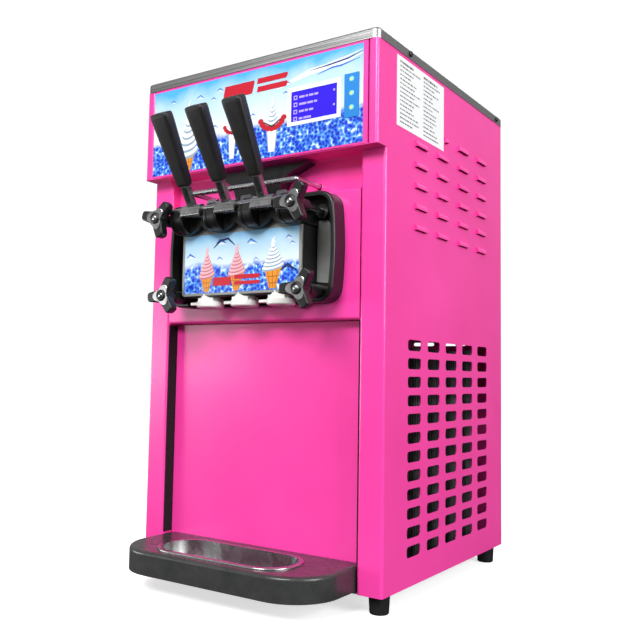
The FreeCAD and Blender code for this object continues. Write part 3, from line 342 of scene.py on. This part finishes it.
finishOf = {
    "paint": ["side_panel_right", "side_panel_left", "rear_panel", "service_panel", "head_fascia",
              "header_panel"],
    "rim": ["top_frame"],
    "steel": ["hopper_right", "hopper_left", "freezing_unit", "switch_bail"],
    "polished": ["drip_basin", "head_studs", "pivot_rod"]
    + [kind + side for kind in ("lever_arm_", "piston_") for side in ("left", "middle", "right")],
    "zinc": ["base_pan", "fan_shroud"],
    "casting": ["gearbox", "input_pulley", "motor_pulley", "drive_motor", "fan_rotor"],
    "fins": ["condenser"],
    "copper": ["refrigerant_pipes"],
    "enamel": ["compressor", "fan_motor", "panel_screws"],
    "headPlastic": ["head_block", "lever_shroud", "mains_inlet"]
    + ["knob_%s_%s" % (level, side) for level in ("upper", "lower") for side in ("left", "right")],
    "gripPlastic": ["grip_" + side for side in ("left", "middle", "right")],
    "trayPlastic": ["tray_body"],
    "acetal": ["nozzle_caps", "beater_left", "beater_right"],
    "lid": ["hopper_lid_right", "hopper_lid_left"],
    "rubber": ["feet", "drive_belt"],
    "gasket": ["head_gaskets"],
    "foam": ["insulation"],
    "board": ["control_board"],
    "label": ["rating_plate"],
    "lcd": ["display_window"],
    "lampEdge": ["button_upper", "button_middle", "button_lower"],
}
overlayLow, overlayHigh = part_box("graphic_overlay")
decalLow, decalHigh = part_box("head_decal")
materials["headerPrint"] = skyPrint("headerPrint", overlayLow[2], overlayHigh[2], overlayLow[2] + 0.047)
materials["headPrint"] = skyPrint("headPrint", decalLow[2], decalHigh[2], decalLow[2] + 0.040, "86C4F0")
finishOf["headerPrint"] = ["graphic_overlay"]
finishOf["headPrint"] = ["head_decal"]

for finish, names in finishOf.items():
    for name in names:
        mesh = nodes[name].data
        mesh.materials.clear()
        mesh.materials.append(materials[finish])
        for face in mesh.polygons:
            face.material_index = 0
unpainted = sorted(set(nodes) - {name for names in finishOf.values() for name in names})
print("nodes finished, left over:", unpainted)


def addPiece(name, vertices, faces, finishes, body, faceFinish=None, smooth=False):
    mesh = bpy.data.meshes.new(name)
    mesh.from_pydata(vertices, [], faces)
    for finish in finishes:
        mesh.materials.append(materials[finish])
    for i, face in enumerate(mesh.polygons):
        face.material_index = faceFinish[i] if faceFinish else 0
        face.use_smooth = smooth
    mesh.update()
    piece = bpy.data.objects.new(name, mesh)
    bpy.context.scene.collection.objects.link(piece)
    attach(piece, body)
    return piece


def printShapes(name, shapes, faceY, body, lift=0.06, step=0.012):
    # shapes are (finish, outline in X and Z millimetres) from back to front, each a hair in front of the last
    finishes = []
    vertices, faces, faceFinish = [], [], []
    for order, (finish, outline) in enumerate(shapes):
        if finish not in finishes:
            finishes.append(finish)
        y = faceY - (lift + step * order) * mm
        first = len(vertices)
        area = sum(a[0] * b[1] - b[0] * a[1] for a, b in zip(outline, outline[1:] + outline[:1]))
        ring = outline if area > 0 else outline[::-1]
        vertices += [(x * mm, y, z * mm) for x, z in ring]
        faces.append(list(range(first, first + len(ring))))
        faceFinish.append(finishes.index(finish))
    return addPiece(name, vertices, faces, finishes, body, faceFinish)


def skin(rings, steps, start=0):  # quads between neighbouring rings of vertices, closed around each ring
    faces = []
    for ring in range(rings - 1):
        for k in range(steps):
            a, b = start + ring * steps + k, start + ring * steps + (k + 1) % steps
            faces.append([a, b, b + steps, a + steps])
    return faces


def around(steps):  # the angles of a full turn
    return [2 * math.pi * k / steps for k in range(steps)]


def rectangle(x0, z0, x1, z1):
    return [(x0, z0), (x1, z0), (x1, z1), (x0, z1)]


def lathe(name, profile, centre, finish, body, steps=40):
    # profile is (radius, distance in front of centre) in millimetres, turned about the front-to-back axis
    vertices = []
    for radius, ahead in profile:
        for angle in around(steps):
            vertices.append((centre[0] + radius * mm * math.cos(angle), centre[1] - ahead * mm,
                             centre[2] + radius * mm * math.sin(angle)))
    piece = addPiece(name, vertices, skin(len(profile), steps), [finish], body, smooth=True)
    repaired = bmesh.new()
    repaired.from_mesh(piece.data)
    bmesh.ops.remove_doubles(repaired, verts=repaired.verts, dist=1e-6)
    bmesh.ops.recalc_face_normals(repaired, faces=repaired.faces)
    repaired.to_mesh(piece.data)
    repaired.free()
    return piece


def ellipse(cx, cz, rx, rz, tilt=0.0, steps=28):
    turn = math.radians(tilt)
    points = []
    for angle in around(steps):
        x, z = rx * math.cos(angle), rz * math.sin(angle)
        points.append((cx + x * math.cos(turn) - z * math.sin(turn),
                       cz + x * math.sin(turn) + z * math.cos(turn)))
    return points


def ribbon(points, width):  # a stroke along points, tapering to its ends
    left, right = [], []
    last = len(points) - 1
    for i, (x, z) in enumerate(points):
        before, after = points[max(i - 1, 0)], points[min(i + 1, last)]
        dx, dz = after[0] - before[0], after[1] - before[1]
        size = math.hypot(dx, dz) or 1
        half = width / 2 * math.sin(math.pi * (i + 0.35) / (last + 0.7))
        left.append((x - dz / size * half, z + dx / size * half))
        right.append((x + dz / size * half, z - dx / size * half))
    return left + right[::-1]


def swirl(cx, foot, width, height, turns, body, shade):  # soft ice cream: tilted rolls up to a curled tip
    roll = {"tilt": 9, "taper": 0.85, "rise": 0.86, "thickness": 0.85, "thinning": 0.35}
    under = {"across": 0.4, "drop": 0.32}  # the shaded roll shows below the pale one
    over = {"width": 0.97, "height": 0.86}
    tip = ((-0.1, 0.8), (0.12, 0.84), (0.05, 0.95), (0.09, 1.06), (-0.04, 0.97))  # shares of width and height
    shapes = []
    for k in range(turns):
        share = k / turns
        half = width / 2 * (1 - share) ** roll["taper"]
        z = foot + height * roll["rise"] * share
        thick = height / turns * roll["thickness"] * (1 - roll["thinning"] * share)
        shaded = ellipse(cx + under["across"], z - thick * under["drop"], half, thick, roll["tilt"])
        pale = ellipse(cx, z, half * over["width"], thick * over["height"], roll["tilt"])
        shapes += [(shade, shaded), (body, pale)]
    shapes.append((body, [(cx + width * across, foot + height * up) for across, up in tip]))
    return shapes


def wafer(cx, foot, width, height):  # cone with a rolled lip and a scored grid
    score = {"width": 0.07, "columns": (-1, 0, 1), "rows": (0.3, 0.62), "sag": 0.8, "start": 0.5}
    lip = {"width": 1.12, "height": 0.13}
    half, footHalf, top = width / 2, width * 0.2, foot + height
    side = [(cx - footHalf, foot), (cx + footHalf, foot), (cx + half, top), (cx - half, top)]
    shapes = [("waferInk", side)]
    lines = []
    for k in score["columns"]:
        lines.append([(cx + k * footHalf * 0.7, foot + score["start"]), (cx + k * half * 0.65, top)])
    for k in score["rows"]:
        reach, z = footHalf + (half - footHalf) * k, foot + height * k
        lines.append([(cx - reach, z), (cx, z - score["sag"]), (cx + reach, z)])
    shapes += [("darkWaferInk", ribbon(line, width * score["width"])) for line in lines]
    shapes.append(("waferInk", ellipse(cx, top, half * lip["width"], height * lip["height"])))
    return shapes


def bannerBar(x0, x1, z0, z1, bevel, lean):  # one leaning bar of the plain red banner
    return ("redInk", [(x0, z0), (x1 - bevel, z0), (x1, z0 + bevel), (x1 + lean, z1 - bevel),
                       (x1 + lean - bevel, z1), (x0 + lean, z1)])


def ripple(x, z, size):  # a small blue stroke of water with its white crest
    blue = [(x - size, z), (x, z + size * 0.5), (x + size, z - size * 0.2)]
    crest = [(x - size * 0.7, z - 1.8), (x + size * 0.2, z - 1), (x + size, z - 2.4)]
    return [("blueInk", ribbon(blue, 2.2)), ("whiteInk", ribbon(crest, 1.5))]


def sundae(x, size):  # a tall glass with a swirl, berries around it and a stroke of sauce
    berries = {"count": 9, "from": 200, "sweep": 140, "level": 663}
    cup = [(x - 6 * size, 610), (x + 6 * size, 610), (x + 11 * size, 648), (x - 11 * size, 648)]
    shapes = [("creamShade", cup), ("whiteInk", [(px * 0.8 + x * 0.2, pz) for px, pz in cup])]
    shapes += swirl(x, 654, 20 * size, 34 * size, 5, "whiteInk", "creamShade")
    for k in range(berries["count"]):
        angle = math.radians(berries["from"] + berries["sweep"] * k / (berries["count"] - 1))
        berry = ellipse(x + 21 * size * math.cos(angle), berries["level"] + 20 * size * math.sin(angle),
                        4.6 * size, 4.0 * size)
        shapes.append(("redInk", berry))
    shapes.append(("brownInk", ribbon([(x - 16 * size, 655), (x, 646), (x + 16 * size, 656)], 3 * size)))
    return shapes


def headerArtwork():
    ripples = ((-150, 714, 5), (-96, 712, 7), (-70, 705, 4), (-58, 716, 6), (-12, 690, 5), (4, 668, 4),
               (64, 703, 4), (70, 629, 5), (-30, 628, 4), (-66, 662, 5), (60, 690, 4), (-160, 640, 5))
    banner = ((-52, 2, 700, 719), (10, 62, 712, 720), (10, 62, 700, 708))
    wave = [(45, 701), (75, 709), (100, 715), (130, 717), (160, 720), (182, 725)]
    coneX, sundaes, bevel, leanShare = -118, ((38, 1.0), (-33, 0.72)), 2, 0.2
    screenFrame = (64, 641, 150, 695)
    shapes = [("whiteInk", ribbon([(x, z - 3) for x, z in wave], 8)),
              ("navyInk", ribbon([(x, z - 1.5) for x, z in wave[2:]], 2.4)),
              ("whiteInk", ribbon([(x, z + 1.5) for x, z in wave[3:]], 1.8)),
              ("blueInk", ribbon([(112, 706), (135, 711), (150, 711), (178, 716)], 2.6))]
    for x, z, size in ripples:
        shapes += ripple(x, z, size)
    for x0, x1, z0, z1 in banner:
        shapes.append(bannerBar(x0, x1, z0, z1, bevel, (z1 - z0) * leanShare))
    shapes += wafer(coneX + 2, 604, 20, 22)
    shapes.append(("brownInk", ellipse(coneX + 10, 629, 9, 4, 25)))
    shapes += swirl(coneX, 634, 40, 74, 7, "whiteInk", "creamShade")
    for x, size in sundaes:
        shapes += sundae(x, size)
    shapes.append(("stripInk", rectangle(155, 638, 177.5, 697)))
    # the white frame is four bars around the display, so nothing lies over the screen
    low, high = [(c[0] / mm, c[2] / mm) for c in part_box("display_window")]
    x0, z0, x1, z1 = screenFrame
    tuck = 0.1
    for bar in ((x0, z0, low[0] + tuck, z1), (high[0] - tuck, z0, x1, z1),
                (low[0], z0, high[0], low[1] + tuck), (low[0], high[1] - tuck, high[0], z1)):
        shapes.append(("whiteInk", rectangle(*bar)))
    printShapes("header_artwork", shapes, overlayLow[1], "cabinet", lift=0.05, step=0.006)


def displayBars():
    screen = {"left": 74, "top": 683, "pitch": 10.0, "gap": 1.6, "dotX": 139, "dotRows": (0, 2),
              "rows": ((9, 4, 7, 6), (12, 9, 5), (8, 5, 7), (6, 12))}  # the bars' lengths, row by row
    tick = {"size": 6, "from": 1.4, "to": 4.6}
    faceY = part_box("display_window")[0][1]
    left = screen["left"]
    shapes = []
    for row, lengths in enumerate(screen["rows"]):
        z = screen["top"] - screen["pitch"] * row
        shapes.append(("lcdBars", rectangle(left, z - tick["size"], left + tick["size"], z)))
        inside = rectangle(left + tick["from"], z - tick["to"], left + tick["to"], z - tick["from"])
        shapes.append(("lcd", inside))
        x = left + 9
        for length in lengths:
            shapes.append(("lcdBars", rectangle(x, z - 4.6, x + length, z - 1.6)))
            x += length + screen["gap"]
        if row in screen["dotRows"]:
            shapes.append(("lcdBars", ellipse(screen["dotX"], z - 3, 1.6, 1.6, steps=16)))
    printShapes("display_bars", shapes, faceY, "cabinet", lift=0.04, step=0.004)


def buttonLamps():
    for name in ("upper", "middle", "lower"):
        low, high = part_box("button_" + name)
        centre = ((low[0] + high[0]) / 2, low[1], (low[2] + high[2]) / 2)
        cx, cz = centre[0] / mm, centre[2] / mm
        star = []
        for k in range(10):
            reach = 2.7 if k % 2 == 0 else 1.5
            angle = math.radians(90 + 36 * k)
            star.append((cx + reach * math.cos(angle), cz + reach * math.sin(angle)))
        printShapes("lamp_" + name, [("lamp", star)], centre[1], "button_" + name, lift=0.05)


headerArtwork()
displayBars()
buttonLamps()
print("header graphics printed")


def headArtwork():
    cones = {"xs": (-58, -4, 58), "sizes": (1.0, 1.05, 1.25), "foot": 416, "coneWidth": 22, "coneHeight": 22,
             "swirlWidth": 30, "swirlHeight": 38, "gap": 3,
             "inks": (("palePinkInk", "pinkInk"), ("palePinkInk", "pinkInk"), ("whiteInk", "creamShade"))}
    peaks = ((-88, 468, 8), (-32, 485, 9), (22, 482, 8), (84, 484, 5), (90, 476, 4), (30, 458, 4),
             (-34, 462, 5))
    banner = ((-46, -14, 424, 436), (-8, 36, 432, 438), (-8, 36, 424, 429))
    shapes = []
    for x, z, size in peaks:
        blue = [(x - size, z - 1), (x - size * 0.3, z + size * 0.5), (x + size, z - size * 0.2)]
        crest = [(x - size * 0.6, z - 2.4), (x + size * 0.1, z - 1), (x + size, z - 2.6)]
        shapes += [("blueInk", ribbon(blue, size * 0.4)), ("whiteInk", ribbon(crest, size * 0.3))]
    shapes.append(("navyInk", ribbon([(-46, 478), (-34, 488), (-20, 490), (-8, 480)], 4)))
    shapes.append(("navyInk", ribbon([(70, 440), (82, 447), (98, 438)], 5)))
    for x, size, (body, shade) in zip(cones["xs"], cones["sizes"], cones["inks"]):
        tall = cones["coneHeight"] * size
        foot, wide = cones["foot"] + tall + cones["gap"], cones["swirlWidth"] * size
        shapes += wafer(x, cones["foot"], cones["coneWidth"] * size, tall)
        shapes += swirl(x, foot, wide, cones["swirlHeight"], 7, body, shade)
    for x0, x1, z0, z1 in banner:
        shapes.append(bannerBar(x0, x1, z0, z1, 1.5, 1))
    printShapes("head_artwork", shapes, decalLow[1], "cabinet", lift=0.04, step=0.004)


def facePlate():  # grey plate behind the decal, with a soft edge, seen between the drums
    plate = {"half": 104.2, "low": 411, "high": 511.5, "corner": 4, "stand": 0.35, "soft": 0.35, "sunk": -0.2}
    corners = ((1, plate["high"] - plate["corner"], 0), (-1, plate["high"] - plate["corner"], 90),
               (-1, plate["low"] + plate["corner"], 180), (1, plate["low"] + plate["corner"], 270))
    outline = []
    for side, cz, start in corners:
        for k in range(7):
            angle = math.radians(start + 15 * k)
            outline.append((side * (plate["half"] - plate["corner"]) + plate["corner"] * math.cos(angle),
                            cz + plate["corner"] * math.sin(angle)))
    steps = len(outline)
    centreZ = (plate["low"] + plate["high"]) / 2
    vertices = []
    for inset, stand in ((0, plate["sunk"]), (0, plate["stand"] * 0.5), (plate["soft"], plate["stand"])):
        across, up = 1 - inset / plate["half"], 1 - inset / 50
        vertices += [(x * across * mm, decalHigh[1] - stand * mm, (centreZ + (z - centreZ) * up) * mm)
                     for x, z in outline]
    faces = skin(3, steps) + [[2 * steps + k for k in range(steps)]]
    addPiece("head_face_plate", vertices, faces, ["headPlate"], "cabinet")


def paintedFlangeHighlights():  # grey panels laid on the floor of the flange, one on each side of the block: a painted highlight, lens-shaped like the broad reflection on the flange's curved face
    wing = [(106, 426), (123, 424), (129.5, 432), (132.8, 449), (133.8, 466), (132.8, 484), (129.5, 500),
            (121, 509), (106, 509)]
    highlightSheet = {"floor": 35.5, "sunk": 0.3, "stand": 0.6}  # the floor lies this far behind the block's face
    back = decalHigh[1] + (highlightSheet["floor"] + highlightSheet["sunk"]) * mm
    front = decalHigh[1] + (highlightSheet["floor"] - highlightSheet["stand"]) * mm
    steps = len(wing)
    for side, sign in (("left", -1), ("right", 1)):
        ring = [(sign * x * mm, z * mm) for x, z in wing][::sign]
        vertices = [(x, y, z) for y in (back, front) for x, z in ring]
        faces = skin(2, steps) + [[steps + k for k in range(steps)]]
        addPiece("flange_highlight_" + side, vertices, faces, ["highlightPlate"], "cabinet")


def knobTrim():  # three-cornered steel face plate, black domed ring and a steel cap on each clamping knob
    trim = {"dome": [(8.4, 0.5), (8.2, 1.8), (7.0, 2.8), (5.2, 2.9), (4.2, 2.2)],
            "cap": [(4.4, 1.6), (4.1, 2.8), (2.6, 3.5), (0.01, 3.7)],
            "plate": [(1.0, -0.3), (1.0, 0.5), (0.95, 0.9), (0.4, 0.9)],  # share of outline, distance ahead
            "middle": 13.4, "swell": 3.4, "steps": 48,
            "corners": {"upper_left": 45, "lower_left": 64, "upper_right": 59, "lower_right": 58}}
    for corner in ("upper_left", "upper_right", "lower_left", "lower_right"):
        body = "knob_" + corner
        x, _, z = joints[body + "_turn"]["pos_m"]
        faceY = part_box(body)[0][1]
        lathe(body + "_dome", trim["dome"], (x, faceY, z), "headPlastic", body)
        lathe(body + "_cap", trim["cap"], (x, faceY, z), "polished", body, 24)
        turn = math.radians(trim["corners"][corner])
        vertices = []
        for share, ahead in trim["plate"]:
            for angle in around(trim["steps"]):
                reach = share * (trim["middle"] + trim["swell"] * math.cos(3 * (angle - turn))) * mm
                vertices.append((x + reach * math.cos(angle), faceY - ahead * mm,
                                 z + reach * math.sin(angle)))
        faces = skin(len(trim["plate"]), trim["steps"])
        addPiece(body + "_plate", vertices, faces, ["polished"], body)


def bailSpring():  # close-wound spring sleeve over the switch bail
    spring = {"half": 74, "wire": 0.5, "radius": 3.6, "pitch": 3.0, "steps": 10}
    bailRadius = 3.5
    low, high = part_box("switch_bail")
    centreY, centreZ = low[1] + bailRadius * mm, (low[2] + high[2]) / 2
    count = int(2 * spring["half"] / spring["pitch"]) * spring["steps"]
    curve = bpy.data.curves.new("bail_spring", "CURVE")
    curve.dimensions = "3D"
    curve.bevel_depth = spring["wire"] * mm
    curve.bevel_resolution = 2
    line = curve.splines.new("POLY")
    line.points.add(count)
    for i in range(count + 1):
        angle = 2 * math.pi * i / spring["steps"]
        x = -spring["half"] + 2 * spring["half"] * i / count
        line.points[i].co = (x * mm, centreY + spring["radius"] * mm * math.cos(angle),
                             centreZ + spring["radius"] * mm * math.sin(angle), 1)
    piece = bpy.data.objects.new("bail_spring", curve)
    curve.materials.append(materials["polished"])
    bpy.context.scene.collection.objects.link(piece)
    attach(piece, "bail")


def valveRings():  # rubber O-rings in the valves' grooves
    ring = {"levels": (419.5, 447.5, 489.5), "wire": 1.3, "radius": 10.1, "around": 36, "across": 8}
    for side in ("left", "middle", "right"):
        low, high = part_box("piston_" + side)
        cx, cy = (low[0] + high[0]) / 2, (low[1] + high[1]) / 2
        vertices, faces = [], []
        for level in ring["levels"]:
            first = len(vertices)
            for a in around(ring["around"]):
                for b in around(ring["across"]):
                    reach = (ring["radius"] + ring["wire"] * math.cos(b)) * mm
                    vertices.append((cx + reach * math.cos(a), cy + reach * math.sin(a),
                                     (level + ring["wire"] * math.sin(b)) * mm))
            for k in range(ring["around"]):
                here, after = first + k * ring["across"], first + (k + 1) % ring["around"] * ring["across"]
                for j in range(ring["across"]):
                    beside = (j + 1) % ring["across"]
                    faces.append([here + j, after + j, after + beside, here + beside])
        name = "valve_rings_" + side
        addPiece(name, vertices, faces, ["gasket"], "valve_" + side, smooth=True)


def leverGrips():  # paddle grips: rounded-rectangle sections that widen upwards, with a soft crown
    paddle = {"lean": 31, "foot": 36.2, "squareness": 5.5, "steps": 40,
              "stations": [(0.0, 17, 11), (0.8, 19, 13), (4, 20.4, 13.8), (20, 23, 14.8), (50, 26.4, 15.8),
                           (80, 29.6, 16.6), (97, 31, 17), (100.6, 30.6, 16.4), (102.2, 29, 14.8),
                           (102.8, 26.5, 12.5)]}  # rise, width and depth
    steps, power = paddle["steps"], 2 / paddle["squareness"]
    turn = Matrix.Rotation(math.radians(paddle["lean"]), 4, "X")
    last = len(paddle["stations"]) - 1
    for side in ("left", "middle", "right"):
        pivot = Vector(joints["lever_%s_pull" % side]["pos_m"])
        vertices = []
        for rise, width, depth in paddle["stations"]:
            for angle in around(steps):
                c, s = math.cos(angle), math.sin(angle)
                x = width / 2 * math.copysign(abs(c) ** power, c)
                y = depth / 2 * math.copysign(abs(s) ** power, s)
                vertices.append(tuple(pivot + turn @ Vector((x * mm, y * mm, (paddle["foot"] + rise) * mm))))
        faces = skin(last + 1, steps)
        faces.append(list(range(steps))[::-1])
        faces.append([last * steps + k for k in range(steps)])
        name = "grip_paddle_" + side
        body = "lever_" + side
        piece = addPiece(name, vertices, faces, ["gripPlastic"], body, smooth=True)
        piece.data.polygons[-1].use_smooth = False
        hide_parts("grip_" + side)


headArtwork()
facePlate()
paintedFlangeHighlights()
knobTrim()
bailSpring()
valveRings()
leverGrips()
print("dispensing head dressed")


def ratingLines():  # plain grey rules on the side label, in two columns
    low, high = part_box("rating_plate")
    label = {"rows": 15, "margin": 7, "columns": ((0.06, 0.48), (0.54, 0.95)), "stand": 0.05,
             "thick": 0.9, "headingThick": 1.6}
    x = high[0] + label["stand"] * mm
    width, height = high[1] - low[1], high[2] - low[2]
    pitch = (height - 2 * label["margin"] * mm) / (label["rows"] - 1)
    vertices, faces = [], []
    for start, end in label["columns"]:
        for row in range(label["rows"]):
            z = high[2] - label["margin"] * mm - row * pitch
            thick = (label["thick"] if row else label["headingThick"]) * mm
            y = low[1] + width * start
            stop = low[1] + width * (start + (end - start) * random.uniform(0.45, 1.0))
            while y < stop:
                finish = min(y + random.uniform(2, 8) * mm, stop)
                first = len(vertices)
                vertices += [(x, y, z - thick), (x, finish, z - thick), (x, finish, z + thick),
                             (x, y, z + thick)]
                faces.append([first, first + 1, first + 2, first + 3])
                y = finish + random.uniform(0.9, 2.2) * mm
    addPiece("label_rules", vertices, faces, ["labelInk"], "cabinet")


def paintedShadeStrips():  # black strips along both sides of the service panel, against the posts: painted shade, standing for the shadow on the posts' inner faces
    low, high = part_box("service_panel")
    # the posts' face stands behind the header's, which is the side panel's foremost edge
    shadeStrip = {"thick": 0.9, "front": 1.0, "back": 0.4, "inner": 168, "foot": 61.5, "top": 1.0, "setBack": 23.2}
    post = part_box("side_panel_right")[0][1] + shadeStrip["setBack"] * mm
    ys = (post + shadeStrip["front"] * mm, low[1] + shadeStrip["back"] * mm)
    zs = (shadeStrip["foot"] * mm, high[2] - shadeStrip["top"] * mm)
    faces = [[0, 1, 3, 2], [4, 6, 7, 5], [0, 4, 5, 1], [2, 3, 7, 6], [0, 2, 6, 4], [1, 5, 7, 3]]
    for side, sign in (("left", -1), ("right", 1)):
        edge = sign * shadeStrip["inner"] * mm
        xs = sorted((edge, edge - sign * shadeStrip["thick"] * mm))
        vertices = [(x, y, z) for x in xs for y in ys for z in zs]
        # each strip is a black sheet put where only shade falls
        addPiece("door_shade_strip_" + side, vertices, faces, ["rubber"], "cabinet")


ratingLines()
paintedShadeStrips()
print("cabinet details added")


def paperSweep(glow):  # a lit paper sweep: white to the eye, with no glow thrown up under the machine
    size = 9.0
    mesh = bpy.data.meshes.new("studio_floor")
    corners = [(-size, -size, 0), (size, -size, 0), (size, size, 0), (-size, size, 0)]
    mesh.from_pydata(corners, [], [[0, 1, 2, 3]])
    floor = bpy.data.objects.new("studio_floor", mesh)
    paper, _, _ = startMaterial("studioPaper", "F6F6F6", {
        "Roughness": 0.9, "Emission Color": linear("FFFFFF"), "Emission Strength": glow})
    mesh.materials.append(paper)
    floor.visible_diffuse = False
    floor.visible_glossy = False
    bpy.context.scene.collection.objects.link(floor)


def studio():
    room = {"sky": "FFFFFF", "below": 0.07, "above": 0.42, "lowest": -0.35, "highest": 0.45, "seen": 1.05}
    paperSweep(0.62)
    world = bpy.data.worlds.new("studio")
    bpy.context.scene.world = world
    world.use_nodes = True
    sky = world.node_tree
    seen = addNode(sky, "ShaderNodeLightPath")
    towards = addNode(sky, "ShaderNodeTexCoord")
    axes = addNode(sky, "ShaderNodeSeparateXYZ", links={"Vector": towards.outputs["Generated"]})
    fade = {"From Min": room["lowest"], "From Max": room["highest"],
            "To Min": room["below"], "To Max": room["above"]}
    dome = addNode(sky, "ShaderNodeMapRange", fade, {"Value": axes.outputs["Z"]})
    strength = addNode(sky, "ShaderNodeMapRange", {"To Max": room["seen"]},
                       {"Value": seen.outputs["Is Camera Ray"], "To Min": dome.outputs["Result"]})
    sky.nodes["Background"].inputs["Color"].default_value = linear(room["sky"])
    sky.links.new(strength.outputs["Result"], sky.nodes["Background"].inputs["Strength"])
    lamps = [  # name, place and size in metres, power in watts; all look at the middle of the machine
        ("key", (0.2, -2.5, 2.0), (1.5, 1.0), 80),
        ("side", (2.7, -0.6, 1.2), (1.4, 1.4), 63),
        ("sheen", (-1.95, -1.95, 0.46), (0.8, 0.4), 4),
        ("low", (-2.4, -1.3, 0.25), (1.3, 0.4), 16),
        ("back", (0.2, 2.0, 2.6), (1.6, 1.0), 18),
    ]
    middle = Vector((0, 0, 0.4))
    for name, where, size, power in lamps:
        light = bpy.data.lights.new(name, "AREA")
        light.shape = "RECTANGLE"
        light.size, light.size_y = size
        light.energy = power
        lamp = bpy.data.objects.new(name, light)
        lamp.location = where
        lamp.rotation_euler = (middle - Vector(where)).to_track_quat("-Z", "Y").to_euler()
        bpy.context.scene.collection.objects.link(lamp)


def camera():
    view = {"place": (0.6844, -1.0474, 0.3026), "azimuth": 34.67, "elevation": -4.55, "roll": 1.08,
            "lens": 45.0, "shift": (0.047, -0.0156)}
    around, up, roll = (math.radians(view[k]) for k in ("azimuth", "elevation", "roll"))
    back = Vector((math.sin(around) * math.cos(up), -math.cos(around) * math.cos(up), math.sin(up)))
    right = (-back).cross(Vector((0, 0, 1))).normalized()
    top = right.cross(-back)
    right, top = right * math.cos(roll) + top * math.sin(roll), top * math.cos(roll) - right * math.sin(roll)
    lens = bpy.data.cameras.new("camera")
    lens.lens = view["lens"]
    lens.sensor_width = 36.0
    lens.shift_x, lens.shift_y = view["shift"]
    lens.clip_end = 60
    eye = bpy.data.objects.new("camera", lens)
    turn = Matrix((right, top, back)).transposed()
    eye.matrix_world = Matrix.Translation(view["place"]) @ turn.to_4x4()
    bpy.context.scene.collection.objects.link(eye)
    bpy.context.scene.camera = eye
    bpy.context.scene.view_settings.view_transform = "Standard"


studio()
camera()
print("studio lit, camera placed")
